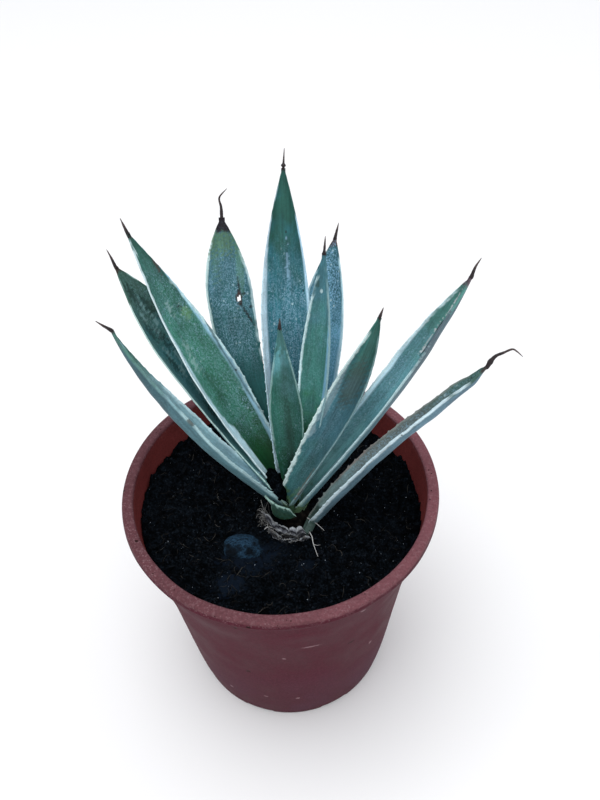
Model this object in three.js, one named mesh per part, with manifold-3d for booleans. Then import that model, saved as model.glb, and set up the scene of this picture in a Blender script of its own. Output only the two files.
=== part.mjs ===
// A young agave in a round nursery pot. Millimetres, +Z up, the pot's axis on Z and its foot on z = 0.
// The plant's remaining leaves rise from a short stem near the middle and spread to the back, +Y.
// Leaf azimuths are measured from +Y towards +X, and elevations from the horizontal, in degrees.

import * as THREE from 'three';
import { mergeVertices } from 'three/addons/utils/BufferGeometryUtils.js';
import Module from 'manifold-3d';

const wasm = await Module();
wasm.setup();

const GAP = 0.3; // clearance that touching pieces keep
const DEG = Math.PI / 180;

// ---------------------------------------------------------------- driving dimensions

const POT = {
  wall: 2.1,
  floor: 3.6,
  foot: 70.8, // radius of the foot
  // radius and height up the outside: the wall flares more and more towards the lip
  outside: [[73.9, 20], [77.5, 50], [81, 82], [84.4, 110], [88.6, 135], [92.2, 151], [94.9, 166]],
  // round the lip, from under its edge to the inner side
  lip: [[97.6, 169.8], [100, 173], [99.6, 177.3], [98.4, 178.5], [94.2, 178.5], [92.8, 177.4], [92.2, 168]],
  segments: 48,
  pockets: 8, // drain pockets under the foot rim
  pocketWidth: 21,
  pocketDepth: 12,
  pocketHeight: 2.2,
  drainRadius: 4,
  drainCircle: 62,
};

const SOIL = {
  level: 156, // mean height of the surface
  fall: [-0.035, -0.02], // its slope along x and y
  crownDip: 0.8, // the surface is lower round the stem
  segments: 44,
  rings: 6,
  lump: 0.9, // height of the surface's lumps
};

const STONE = { at: [-26.5, -31.5, 155], size: [14, 10, 6.5] }; // centre and half sizes

const STEM = {
  at: [7, -8],
  profile: [[0, 124], [6.5, 127], [13, 140], [15, 149], [12, 153.5], [9.6, 157], [7.6, 160.5],
    [4.4, 163.4], [0, 164.6]], // radius, height
  segments: 18,
};
const CORE = [7, -7.5, 157]; // where the leaves' roots meet inside the stem

// A plug of potting mix lodged above the stem: centre, half sizes and lean.
const CROWN_SOIL = { at: [-2.6, -3, 177], size: [6.5, 7.5, 13], lean: [-12, -20] };

// Curved scales round the front of the stem. from and to are azimuths; each end tapers down.
const SCALES = {
  leaf_stump: { at: [7, -7], from: -100, to: -192, foot: [9.6, 162], rim: [13.4, 176], thick: 2.6,
    steps: 8, rag: 0.3, flare: 4, droop: 0.15 },
  sheath_inner: { at: [6, -13], from: -92, to: -212, foot: [13.6, 154.6], rim: [11.8, 165], thick: 1.3,
    steps: 14, rag: 0.9, flare: 5, droop: 0.6 },
  sheath_outer: { at: [6, -13.5], from: -108, to: -222, foot: [16.8, 153.4], rim: [15.6, 158.6], thick: 1.2,
    steps: 14, rag: 1.2, flare: 1, droop: 0.7 },
};

// One row for each leaf, in the order in which they were laid down over one another, front first.
// base: where the midrib leaves the stem. heading: azimuth at the base and its change to the tip.
// rise: elevation at the base and its change. size: length and greatest half width.
// belly: where along the leaf it is widest. neck: width at the base over greatest width.
// taper: how full the blade stays towards its tip. roll: turn about the midrib, and its change.
// fold: how far each wing is turned up. thick: thickness on the midrib at the base.
// root: where its root ends, if not in the stem's core.
// spine: points on the terminal spine's line from the blade's end, as [side, along, up].
const LEAVES = [
  { name: '01', base: [4.5, -9, 174], heading: [71.5, -33.5], rise: [60, -7.5], size: [130.5, 11.4],
    belly: 0.55, neck: 0.6, taper: 1.9, roll: [-16, -15], fold: 34, thick: 4, spine: [[0.2, 6, 0.1]] },
  { name: '02', base: [8.6, -5, 166.4], heading: [-5.5, 3], rise: [74.5, 1], size: [120.6, 10.7],
    belly: 0.57, neck: 0.38, taper: 1.35, roll: [7, 3], fold: 29, thick: 4, spine: [[0.6, 6, 0.1]] },
  { name: '03', base: [0.5, -7, 167.5], heading: [-83, 1.5], rise: [48, 29.5], size: [165, 8.7],
    belly: 0.54, neck: 0.47, taper: 1.35, roll: [-3, -1], fold: 54, thick: 3,
    spine: [[-2, 5.6, -2], [-3.5, 10.2, -3.6]] },
  { name: '04', base: [4.5, -1, 169], heading: [-53, 3.5], rise: [55, 8.5], size: [189, 16.6],
    belly: 0.49, neck: 0.38, taper: 1.65, roll: [3, 4], fold: 28, thick: 4.5, spine: [[0, 9, 0.7]] },
  { name: '05', base: [8, 1, 167.5], heading: [4, 2.5], rise: [68.5, -2.5], size: [201, 15.7],
    belly: 0.57, neck: 0.6, taper: 1.8, roll: [2, 1], fold: 28, thick: 4.5, spine: [[0.8, 10.5, 0.4]] },
  { name: '06', base: [14, -4, 171], heading: [29.5, -1.5], rise: [73.5, 8], size: [163, 9.4],
    belly: 0.55, neck: 0.6, taper: 1.8, roll: [-6, 2], fold: 26, thick: 4, spine: [[0.4, 10.1, 0.8]] },
  { name: '07', base: [11.5, -8, 169.5], heading: [75.5, 18], rise: [50, 21], size: [183, 11.6],
    belly: 0.57, neck: 0.61, taper: 2.15, roll: [-7, -6], fold: 43, thick: 3.8,
    spine: [[0.3, 6.9, 1.2], [1.2, 13.4, 1.4]] },
  { name: '08', base: [3.5, -2.5, 167.5], heading: [-56.5, 5.5], rise: [50.5, 5.5], size: [177, 16.8],
    belly: 0.67, neck: 0.54, taper: 1.8, roll: [-3, 8], fold: 29, thick: 4.2,
    spine: [[0.6, 6.3, 0.7], [0.8, 11, 1]] },
  { name: '09', base: [-2, 0, 167.5], heading: [-24.5, 30], rise: [56.5, 3.5], size: [176.5, 14.5],
    belly: 0.73, neck: 0.36, taper: 2, roll: [-2, -8], fold: 21, thick: 4.2,
    spine: [[-0.1, 6, 0.1], [-1, 10, 0.1], [-0.2, 12.5, 0.3], [3.7, 16.4, 1.3]] },
  { name: '10', base: [12, 0, 167.5], heading: [21, 0.5], rise: [57.5, -1], size: [161.5, 16.2],
    belly: 0.58, neck: 0.6, taper: 1.95, roll: [-1, 0], fold: 27, thick: 4, spine: [[0.8, 9, -0.1]] },
  { name: '11', base: [19.5, -16, 160], heading: [93.5, -9], rise: [57.5, -14.5], size: [154, 9],
    belly: 0.36, neck: 0.39, taper: 0.85, roll: [-1, 11], fold: 47, thick: 3, root: [12.6, -24, 155],
    spine: [[-0.5, 4.2, 1.4], [-0.6, 7.8, 1.8], [0.1, 11.6, 1.1], [1.1, 16.5, 0.1], [3.1, 17.8, -1.7],
      [6.2, 18.6, -4]] },
];
const LEAF_ROOT = [0.5, 1.0]; // shares of the way from a leaf's base in to its root's end
const ROW_STEP = 7.2; // length of one row of the blade, which carries one tooth on each margin
const MARGIN_THICK = 1.0; // thickness of the blade's edge
const TIP_HALF_WIDTH = 1.15; // half width of the blade where its spine begins
const TOOTH = 1.25; // how far a marginal tooth stands out at the base; less towards the tip
const TOOTH_SPAN = [0.06, 0.84]; // the teeth's part of the leaf's length
const ACROSS = [-1, -0.5, 0, 0.5, 1]; // stations across the blade, margin to margin
const SPINE_RADIUS = 1.15;

// ---------------------------------------------------------------- colours

const COLOURS = {
  pot: 0x6b3f42, soil: 0x14110f, stone: 0x2b3a4c, stem: 0x2a2018, crown_soil: 0x0d0b0a,
  leaf_stump: 0x4e7368, sheath: 0x8a8078, spine: 0x1f1718,
  leaves: ['#4b6a6e', '#416b62', '#5b8086', '#3f6d5e', '#3b6a6c', '#41756a', '#4d7c7c', '#2f4f50',
    '#41666a', '#426f80', '#7c8886'],
};

function material(colour, roughness) {
  return new THREE.MeshStandardMaterial({ color: colour, roughness, metalness: 0 });
}

// ---------------------------------------------------------------- closed meshes and solids

// Turns vertices and triangles into a solid, facing its triangles outwards.
function solidOf(points, triangles) {
  let volume = 0;
  for (const [a, b, c] of triangles) {
    volume += points[a].dot(new THREE.Vector3().crossVectors(points[b], points[c]));
  }
  const faces = volume > 0 ? triangles : triangles.map(([a, b, c]) => [a, c, b]);
  return new wasm.Manifold(new wasm.Mesh({
    numProp: 3,
    vertProperties: Float32Array.from(points.flatMap((p) => [p.x, p.y, p.z])),
    triVerts: Uint32Array.from(faces.flat()),
  }));
}

function solidOfGeometry(geometry) {
  const plain = geometry.clone();
  plain.deleteAttribute('normal');
  plain.deleteAttribute('uv');
  const merged = mergeVertices(plain, 1e-4);
  const at = merged.getAttribute('position');
  const points = Array.from({ length: at.count }, (_, i) => new THREE.Vector3().fromBufferAttribute(at, i));
  const index = Array.from(merged.index.array);
  const triangles = [];
  for (let i = 0; i < index.length; i += 3) {
    const [a, b, c] = index.slice(i, i + 3);
    if (a !== b && b !== c && c !== a) triangles.push([a, b, c]);
  }
  return solidOf(points, triangles);
}

function geometryOfSolid(solid) {
  const mesh = solid.getMesh();
  const geometry = new THREE.BufferGeometry();
  const xyz = new Float32Array(mesh.numVert * 3);
  for (let i = 0; i < mesh.numVert; i += 1) {
    for (let k = 0; k < 3; k += 1) xyz[i * 3 + k] = mesh.vertProperties[i * mesh.numProp + k];
  }
  geometry.setAttribute('position', new THREE.BufferAttribute(xyz, 3));
  geometry.setIndex(Array.from(mesh.triVerts));
  geometry.computeVertexNormals();
  return geometry;
}

// Cuts solids away and keeps the largest body that is left.
function carve(solid, cutters) {
  let left = solid;
  for (const cutter of cutters) left = left.subtract(cutter);
  return left.decompose().reduce((best, body) => (body.volume() > best.volume() ? body : best));
}

function lathe(profile, segments) {
  const geometry = new THREE.LatheGeometry(profile.map(([r, z]) => new THREE.Vector2(r, z)), segments);
  return geometry.rotateX(Math.PI / 2); // the lathe turns about Y, the pot about Z
}

// A loop of rings of equal length, joined by quads, with both ends closed by strips across the loop.
// ring[i] for i < half is the upper side from left to right, and the rest is the lower side going back.
function sweep(rings, toothAt) {
  const points = rings.flat();
  const n = rings[0].length;
  const half = n / 2;
  const triangles = [];
  const quad = (a, b, c, d) => triangles.push([a, b, c], [a, c, d]);
  for (let r = 0; r + 1 < rings.length; r += 1) {
    const p = r * n;
    const q = p + n;
    for (let j = 0; j + 1 < half; j += 1) {
      quad(p + j, p + j + 1, q + j + 1, q + j);
      const a = n - 1 - j; // below station j
      triangles.push([p + a, q + a - 1, p + a - 1], [p + a, q + a, q + a - 1]);
    }
    for (const [a, b] of [[half - 1, half], [n - 1, 0]]) {
      const tooth = toothAt && toothAt(r, a, b);
      if (!tooth) {
        quad(p + a, p + b, q + b, q + a);
      } else {
        const t = points.push(tooth) - 1;
        triangles.push([p + a, p + b, t], [p + b, q + b, t], [q + b, q + a, t], [q + a, p + a, t]);
      }
    }
  }
  const end = (rings.length - 1) * n;
  for (let j = 0; j + 1 < half; j += 1) {
    const a = n - 1 - j;
    quad(j, a, a - 1, j + 1);
    quad(end + j, end + j + 1, end + a - 1, end + a);
  }
  return solidOf(points, triangles);
}

// A closed star-shaped lump: radial(direction) gives the half size in that direction.
function lump(at, size, detail, roughen) {
  const ball = new THREE.IcosahedronGeometry(1, detail);
  const p = ball.getAttribute('position');
  const v = new THREE.Vector3();
  for (let i = 0; i < p.count; i += 1) {
    v.fromBufferAttribute(p, i).normalize();
    const k = 1 + roughen(v);
    p.setXYZ(i, at[0] + v.x * size[0] * k, at[1] + v.y * size[1] * k, at[2] + v.z * size[2] * k);
  }
  return ball;
}

// ---------------------------------------------------------------- the pot and what fills it

function potSolid() {
  const inside = POT.outside.slice(0, -1).reverse().map(([r, z]) => [r - POT.wall, z]);
  const profile = [
    [0, 0], [POT.foot - 1.2, 0], [POT.foot, 1.2], ...POT.outside, ...POT.lip, ...inside,
    [floorRadius(), POT.floor], [0, POT.floor],
  ];
  const cutters = [];
  for (let i = 0; i < POT.pockets; i += 1) {
    const turn = ((i + 0.5) / POT.pockets) * Math.PI * 2;
    const pocket = new THREE.BoxGeometry(POT.pocketDepth * 2, POT.pocketWidth, POT.pocketHeight * 2);
    pocket.translate(POT.foot, 0, 0).rotateZ(turn);
    const drain = new THREE.CylinderGeometry(POT.drainRadius, POT.drainRadius, POT.floor * 4, 8);
    drain.rotateX(Math.PI / 2).translate(POT.drainCircle, 0, 0).rotateZ(turn);
    cutters.push(solidOfGeometry(pocket), solidOfGeometry(drain));
  }
  return carve(solidOfGeometry(lathe(profile, POT.segments)), cutters);
}

// Radius of the pot's bore where it meets the floor.
function floorRadius() {
  return POT.foot - POT.wall + 0.5;
}

// Height of the soil's surface at a point: a slight fall, broad lumps, and a dip round the stem.
function soilHeight(x, y) {
  const fromStem = Math.hypot(x - STEM.at[0], y - STEM.at[1]);
  const waves = Math.sin(x * 0.11 + 0.6) * Math.cos(y * 0.13 - 0.4) + 0.6 * Math.sin(x * 0.23 - y * 0.19);
  return SOIL.level + SOIL.fall[0] * x + SOIL.fall[1] * y + SOIL.lump * waves
    - SOIL.crownDip * Math.exp(-((fromStem / 26) ** 2));
}

function soilSolid() {
  const n = SOIL.segments;
  const foot = POT.floor + GAP;
  const points = [];
  const ring = (radius, height) => {
    for (let i = 0; i < n; i += 1) {
      const a = (i / n) * Math.PI * 2;
      const x = radius * Math.sin(a);
      const y = radius * Math.cos(a);
      points.push(new THREE.Vector3(x, y, height === null ? soilHeight(x, y) : height));
    }
  };
  const bore = POT.outside.slice(0, -2).map(([r, z]) => [r - POT.wall - GAP * 1.7, z]);
  const levels = [[floorRadius() - GAP * 1.7, foot], ...bore];
  levels.forEach(([r, z]) => ring(r, z));
  const edge = POT.outside.at(-2)[0] - POT.wall - GAP * 1.6; // the bore at the surface's own height
  for (let k = 0; k < SOIL.rings; k += 1) ring(edge * (1 - k / SOIL.rings), null);
  const rings = levels.length + SOIL.rings;
  const centreTop = points.push(new THREE.Vector3(0, 0, soilHeight(0, 0))) - 1;
  const centreFoot = points.push(new THREE.Vector3(0, 0, foot)) - 1;
  const triangles = [];
  for (let i = 0; i < n; i += 1) {
    const j = (i + 1) % n;
    triangles.push([centreFoot, i, j], [centreTop, (rings - 1) * n + j, (rings - 1) * n + i]);
    for (let r = 0; r + 1 < rings; r += 1) {
      const p = r * n;
      triangles.push([p + i, p + n + i, p + n + j], [p + i, p + n + j, p + j]);
    }
  }
  return solidOf(points, triangles);
}

function stoneSolid(grow) {
  const size = STONE.size.map((s) => s + grow);
  const rough = (v) => 0.07 * Math.sin(3.1 * v.x + 1) * Math.cos(2.7 * v.y) + 0.05 * Math.sin(5 * v.z + 2 * v.x);
  return solidOfGeometry(lump(STONE.at, size, 4, rough));
}

// ---------------------------------------------------------------- the plant

function stemSolid(grow) {
  const profile = STEM.profile.map(([r, z], i, all) => {
    if (r === 0) return [0, z + (i === 0 ? -grow : grow)];
    return [r + grow, z + (i > all.length / 2 ? grow * 0.5 : 0)];
  });
  const body = lathe(profile, STEM.segments);
  return solidOfGeometry(body.translate(STEM.at[0], STEM.at[1], 0));
}

function crownSoilSolid() {
  const { at, size, lean } = CROWN_SOIL;
  const rough = (v) => 0.12 * Math.sin(4 * v.x + 3 * v.z) + 0.1 * Math.cos(5 * v.y - 2 * v.z);
  const body = lump([0, 0, 0], size, 2, rough);
  body.rotateY(lean[0] * DEG).rotateX(lean[1] * DEG).translate(...at);
  return solidOfGeometry(body);
}

// A curved scale round the stem, from its foot ring up to its ragged rim, thinner and lower at its ends.
function scaleSolid(scale, grow) {
  const rings = [];
  for (let i = 0; i <= scale.steps; i += 1) {
    const v = i / scale.steps;
    const turn = (scale.from + (scale.to - scale.from) * v) * DEG;
    const full = Math.min(1, Math.sin(Math.PI * v) * 1.6 + 1 - scale.droop);
    const torn = scale.rag * Math.sin(i * 2.4);
    const thick = scale.thick * (0.55 + 0.45 * full);
    const top = scale.foot[1] + (scale.rim[1] - scale.foot[1]) * full + torn + scale.flare * (1 - v) * 0.8;
    const flare = scale.flare * (1 - v) ** 2;
    const at = (radius, z) => new THREE.Vector3(
      scale.at[0] + radius * Math.sin(turn), scale.at[1] + radius * Math.cos(turn), z);
    const middle = (scale.foot[0] + scale.rim[0]) / 2 + 0.5 + flare * 0.35;
    const levels = [
      [scale.foot[0], scale.foot[1] - grow], [middle, (scale.foot[1] + top) / 2], [scale.rim[0] + flare, top + grow],
    ];
    rings.push([
      ...levels.map(([r, z]) => at(r + thick / 2 + grow, z)),
      ...levels.reverse().map(([r, z]) => at(r - thick / 2 - grow, z)),
    ]);
  }
  return sweep(rings);
}

// Half width of a blade at u, from 0 at its base to 1 at its tip, and narrower in its root below 0.
function halfWidth(leaf, u) {
  const v = Math.max(u, 0);
  const wide = leaf.size[1];
  if (u < 0) return wide * leaf.neck * (1 + 0.35 * u);
  if (v < leaf.belly) return wide * (leaf.neck + (1 - leaf.neck) * Math.sin((Math.PI / 2) * (v / leaf.belly)));
  return Math.max(wide * (1 - ((v - leaf.belly) / (1 - leaf.belly)) ** leaf.taper), TIP_HALF_WIDTH);
}

// Directions of a leaf at u: along its midrib, to its right side, and up from its upper face.
function leafAxes(leaf, u) {
  const bend = Math.max(u, 0) ** 1.5;
  const turn = (leaf.heading[0] + leaf.heading[1] * bend) * DEG;
  const rise = (leaf.rise[0] + leaf.rise[1] * bend) * DEG;
  const along = new THREE.Vector3(
    Math.cos(rise) * Math.sin(turn), Math.cos(rise) * Math.cos(turn), Math.sin(rise));
  const side = new THREE.Vector3(Math.cos(turn), -Math.sin(turn), 0);
  const up = new THREE.Vector3().crossVectors(side, along);
  const roll = (leaf.roll[0] + leaf.roll[1] * Math.max(u, 0)) * DEG;
  side.applyAxisAngle(along, -roll);
  up.applyAxisAngle(along, -roll);
  return { along, side, up };
}

// Stations along a leaf: its midrib's points and axes, from the root's end to the tip.
function leafStations(leaf) {
  const rows = Math.round(leaf.size[0] / ROW_STEP);
  const base = new THREE.Vector3(...leaf.base);
  const core = new THREE.Vector3(...(leaf.root ?? CORE));
  const stations = LEAF_ROOT.map((share) => (
    { u: -share, axes: leafAxes(leaf, 0), point: base.clone().lerp(core, share) })).reverse();
  const point = base.clone();
  for (let i = 0; i <= rows; i += 1) {
    if (i > 0) point.addScaledVector(leafAxes(leaf, (i - 0.5) / rows).along, leaf.size[0] / rows);
    stations.push({ u: i / rows, axes: leafAxes(leaf, i / rows), point: point.clone() });
  }
  return stations;
}

// Channelled section: the wings rise from the midrib as a parabola, and the underside is fuller.
function leafRing(leaf, station, grow) {
  const { u, axes, point } = station;
  const wide = halfWidth(leaf, u);
  const fold = leaf.fold * DEG;
  const middle = leaf.thick * (1 - Math.max(u, 0)) ** 0.8 + 0.9;
  const upper = [];
  const lower = [];
  for (const q of ACROSS) {
    const slope = 2 * q * Math.tan(fold);
    const square = new THREE.Vector3().copy(axes.up).addScaledVector(axes.side, -slope).normalize();
    const at = new THREE.Vector3().copy(point)
      .addScaledVector(axes.side, wide * Math.cos(fold) * q)
      .addScaledVector(axes.up, wide * Math.sin(fold) * q * q);
    const reach = Math.abs(q) === 1 ? grow : 0;
    const rim = new THREE.Vector3().copy(axes.side).multiplyScalar(Math.sign(q))
      .addScaledVector(axes.up, Math.abs(slope)).normalize().multiplyScalar(reach);
    const thick = MARGIN_THICK + Math.max(middle - MARGIN_THICK, 0) * (1 - q * q);
    upper.push(at.clone().addScaledVector(square, grow).add(rim));
    lower.unshift(at.clone().addScaledVector(square, -thick - grow).add(rim));
  }
  return [...upper, ...lower];
}

function leafSolid(leaf, grow) {
  const stations = leafStations(leaf);
  const rings = stations.map((station) => leafRing(leaf, station, grow));
  if (grow > 0) {
    const last = stations[stations.length - 1];
    rings[rings.length - 1].forEach((p) => p.addScaledVector(last.axes.along, grow));
  }
  const half = ACROSS.length;
  const toothAt = (r, a, b) => {
    const u = (stations[r].u + stations[r + 1].u) / 2;
    if (u < TOOTH_SPAN[0] || u > TOOTH_SPAN[1]) return null;
    const edge = [rings[r][a], rings[r][b], rings[r + 1][a], rings[r + 1][b]];
    const tip = edge.reduce((sum, p) => sum.add(p), new THREE.Vector3()).multiplyScalar(0.25);
    const inner = a === half - 1 ? [half - 2, half + 1] : [2 * half - 2, 1];
    const from = inner.reduce((sum, k) => sum.addScaledVector(rings[r][k], 0.5), new THREE.Vector3());
    const root = edge[0].clone().add(edge[1]).multiplyScalar(0.5);
    const out = root.sub(from).normalize();
    return tip.addScaledVector(out, TOOTH * (1 - 0.8 * u) + grow).addScaledVector(stations[r].axes.along, 0.8);
  };
  return sweep(rings, toothAt);
}

// The terminal spine: a thorn that tapers along a smooth line from just beyond the blade's end.
function spineSolid(leaf) {
  const stations = leafStations(leaf);
  const { axes, point } = stations[stations.length - 1];
  const place = ([side, along, up]) => new THREE.Vector3().copy(point)
    .addScaledVector(axes.side, side).addScaledVector(axes.along, along)
    .addScaledVector(axes.up, up - MARGIN_THICK * 0.3);
  const line = new THREE.CatmullRomCurve3([[0, 0, 0], ...leaf.spine].map(place));
  const steps = leaf.spine.length * 2 + 1;
  const rings = [];
  for (let i = 0; i <= steps; i += 1) {
    const v = i / steps;
    const along = line.getTangentAt(v);
    const side = new THREE.Vector3().crossVectors(along, axes.up).normalize();
    const up = new THREE.Vector3().crossVectors(side, along);
    const radius = SPINE_RADIUS * (1 - v) ** 0.8 * 0.8 + 0.2;
    const centre = line.getPointAt(v);
    rings.push([150, 90, 30, -30, -90, -150].map((turn) => centre.clone()
      .addScaledVector(side, radius * Math.cos(turn * DEG))
      .addScaledVector(up, radius * Math.sin(turn * DEG))));
  }
  return carve(sweep(rings), [leafSolid(leaf, GAP)]);
}

// ---------------------------------------------------------------- assembly

const agave = new THREE.Group();

function place(name, solid, colour, roughness) {
  const mesh = new THREE.Mesh(geometryOfSolid(solid), material(colour, roughness));
  mesh.name = name;
  agave.add(mesh);
}

const leaves = [];
const grownLeaves = [];
const grownStem = stemSolid(GAP);
for (const leaf of LEAVES) {
  leaves.push(carve(leafSolid(leaf, 0), [grownStem, ...grownLeaves]));
  grownLeaves.push(leafSolid(leaf, GAP));
}

const scales = {};
const grownScales = [];
for (const [name, scale] of Object.entries(SCALES)) {
  scales[name] = carve(scaleSolid(scale, 0), [grownStem, ...grownLeaves, ...grownScales]);
  grownScales.push(scaleSolid(scale, GAP));
}

place('pot', potSolid(), COLOURS.pot, 0.6);
place('soil', carve(soilSolid(), [grownStem, stoneSolid(GAP), ...grownScales, ...grownLeaves]), COLOURS.soil, 1);
place('stone', stoneSolid(0), COLOURS.stone, 0.9);
place('stem', stemSolid(0), COLOURS.stem, 0.9);
place('crown_soil', carve(crownSoilSolid(), [grownStem, ...grownLeaves, ...grownScales]), COLOURS.crown_soil, 1);
place('leaf_stump', scales.leaf_stump, COLOURS.leaf_stump, 0.6);
place('sheath_inner', scales.sheath_inner, COLOURS.sheath, 0.9);
place('sheath_outer', scales.sheath_outer, COLOURS.sheath, 0.9);
LEAVES.forEach((leaf, i) => {
  place(`leaf_${leaf.name}`, leaves[i], COLOURS.leaves[i], 0.55);
  place(`spine_${leaf.name}`, spineSolid(leaf), COLOURS.spine, 0.5);
});

export default agave;
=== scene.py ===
"""A young agave in a round plastic nursery pot, dressed over its CAD solids.

Everything stands in the CAD's frame: +Z up, the pot's axis on Z and its foot on z = 0. Sizes are
kept in millimetres, as in the CAD, and are turned to metres once, when a mesh is made. Each
sub-assembly is a class that holds its sizes, works its surfaces out with numpy and dresses them.
"""

import logging
import math
from dataclasses import dataclass, field
from enum import Enum
from functools import reduce
from typing import Optional, Sequence

import bpy
import numpy as np
from mathutils import Matrix, Vector


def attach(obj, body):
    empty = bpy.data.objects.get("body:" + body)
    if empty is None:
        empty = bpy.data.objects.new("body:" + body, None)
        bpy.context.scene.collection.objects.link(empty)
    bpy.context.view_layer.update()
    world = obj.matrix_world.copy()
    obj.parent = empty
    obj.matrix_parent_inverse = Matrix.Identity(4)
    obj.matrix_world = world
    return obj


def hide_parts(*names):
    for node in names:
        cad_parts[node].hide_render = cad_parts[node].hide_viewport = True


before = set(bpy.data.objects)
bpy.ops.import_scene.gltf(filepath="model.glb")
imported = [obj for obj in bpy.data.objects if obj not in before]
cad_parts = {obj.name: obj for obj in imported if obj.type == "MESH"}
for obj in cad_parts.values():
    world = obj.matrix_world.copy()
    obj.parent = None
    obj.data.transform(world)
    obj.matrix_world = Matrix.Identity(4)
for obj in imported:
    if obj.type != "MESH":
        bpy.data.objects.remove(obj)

Array = np.ndarray
Socket = bpy.types.NodeSocket
LOG = logging.getLogger("agave")
MM = 0.001
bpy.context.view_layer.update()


# ---- numbers and colours


class Margin(Enum):
    """The two long edges of a leaf, seen from above with its tip away from the viewer."""

    LEFT = -1
    RIGHT = 1


def linear(code: str) -> Array:
    """Turns an sRGB hex code into linear light.

    Args:
        code: a colour such as "#6b3f42".

    Returns:
        Three linear values, red, green and blue.
    """
    srgb = np.array([int(code[i : i + 2], 16) for i in (1, 3, 5)]) / 255.0
    return np.where(srgb <= 0.04045, srgb / 12.92, ((srgb + 0.055) / 1.055) ** 2.4)


def rgba(code: str) -> tuple[float, float, float, float]:
    """A hex code as linear red, green, blue and alpha."""
    return (*(float(v) for v in linear(code)), 1.0)


def smooth(value: Array, low: float, high: float) -> Array:
    """Rises from 0 at low to 1 at high as 3t^2 - 2t^3, and is flat outside them."""
    t = np.clip((value - low) / (high - low), 0.0, 1.0)
    return t * t * (3.0 - 2.0 * t)


def hump(value: Array, middle: float, width: float) -> Array:
    """A bell of height 1, e^-t^2 with t = (value - middle) / width."""
    return np.exp(-(((value - middle) / width) ** 2))


def lay(under: object, over: object, cover: Array) -> Array:
    """Lays one colour over another, by a cover from 0 to 1 at each point.

    Args:
        under: a hex code, or linear values at each point.
        over: alike.
        cover: how much of the second colour shows at each point.

    Returns:
        Linear values at each point.
    """
    first, second = (linear(tone) if isinstance(tone, str) else tone for tone in (under, over))
    return first + (second - first) * np.clip(cover, 0.0, 1.0)[..., None]


def opaque(colour: Array, copies: int = 1) -> Array:
    """Colours with alpha 1, each repeated for the points that share it."""
    return np.repeat(np.concatenate([colour, np.ones((len(colour), 1))], 1), copies, axis=0)


def ripple(points: Array, length: float, seed: int, octaves: int = 3) -> Array:
    """Smooth noise: seven plane waves in random directions, then the same at half the size and length.

    Args:
        points: places in millimetres, with the coordinates on the last axis.
        length: wavelength of the first octave in millimetres.
        seed: chooses the waves.
        octaves: how many halvings are summed.

    Returns:
        Values of about -1 to 1, one for each point.
    """
    rng = np.random.default_rng(seed)
    total = np.zeros(points.shape[:-1])
    for octave in range(octaves):
        waves = rng.normal(size=(7, points.shape[-1]))
        numbers = 2.0 * np.pi / length * 2.0**octave * rng.uniform(0.7, 1.4, (7, 1))
        waves *= numbers / np.linalg.norm(waves, axis=1, keepdims=True)
        phase = rng.uniform(0.0, 2.0 * np.pi, 7)
        total += np.sin(points @ waves.T + phase).sum(-1) / (3.2 * 2.0**octave)
    return total


def curve_through(knots: Array, count: int) -> Array:
    """A Catmull-Rom curve through all knots, evened out so that its points lie equally far apart.

    Args:
        knots: the points to pass, as rows.
        count: how many points to return.

    Returns:
        Points from the first knot to the last, as rows.
    """
    ends = np.vstack([2 * knots[0] - knots[1], knots, 2 * knots[-1] - knots[-2]])
    t = np.linspace(0, len(knots) - 1, count * 8)
    i = np.minimum(t.astype(int), len(knots) - 2)
    s = (t - i)[:, None]
    a, b, c, d = ends[i], ends[i + 1], ends[i + 2], ends[i + 3]
    fine = 0.5 * (2 * b + (c - a) * s + (2 * a - 5 * b + 4 * c - d) * s**2 + (3 * b - a - 3 * c + d) * s**3)
    walked = np.concatenate([[0], np.cumsum(np.linalg.norm(np.diff(fine, axis=0), axis=1))])
    even = np.linspace(0, walked[-1], count)
    return np.stack([np.interp(even, walked, fine[:, k]) for k in range(fine.shape[1])], -1)


def unit(vectors: Array) -> Array:
    """Vectors scaled to length 1."""
    return vectors / np.maximum(np.linalg.norm(vectors, axis=-1, keepdims=True), 1e-12)


def turns(count: int) -> Array:
    """Angles of equal steps round a full turn, from 0."""
    return np.arange(count) / count * 2 * np.pi


# ---- meshes


@dataclass
class Skin:
    """A surface in the making: points in millimetres, faces, and values at its points."""

    points: Array
    quads: Array
    triangles: Array = field(default_factory=lambda: np.zeros((0, 3), int))
    values: dict[str, Array] = field(default_factory=dict)

    def piece(self, name: str) -> bpy.types.Object:
        """Makes the Blender object, at the origin, with its place in its mesh.

        Args:
            name: the object's name.

        Returns:
            The object, linked to the scene.
        """
        mesh = bpy.data.meshes.new(name)
        corners = np.concatenate([self.quads.ravel(), self.triangles.ravel()]).astype(np.int32)
        sizes = np.concatenate([np.full(len(self.quads), 4), np.full(len(self.triangles), 3)])
        starts = np.concatenate([[0], np.cumsum(sizes)[:-1]]).astype(np.int32)
        mesh.vertices.add(len(self.points))
        mesh.vertices.foreach_set("co", (self.points * MM).astype(np.float32).ravel())
        mesh.loops.add(len(corners))
        mesh.loops.foreach_set("vertex_index", corners)
        mesh.polygons.add(len(sizes))
        mesh.polygons.foreach_set("loop_start", starts)
        mesh.polygons.foreach_set("use_smooth", np.ones(len(sizes), bool))
        mesh.update(calc_edges=True)
        kinds = {1: ("FLOAT", "value"), 3: ("FLOAT_VECTOR", "vector"), 4: ("FLOAT_COLOR", "color")}
        for label, value in self.values.items():
            width = 1 if value.ndim == 1 else value.shape[1]
            kind, key = kinds[width]
            layer = mesh.attributes.new(label, kind, "POINT")
            layer.data.foreach_set(key, value.astype(np.float32).ravel())
        made = bpy.data.objects.new(name, mesh)
        bpy.context.scene.collection.objects.link(made)
        return made


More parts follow.
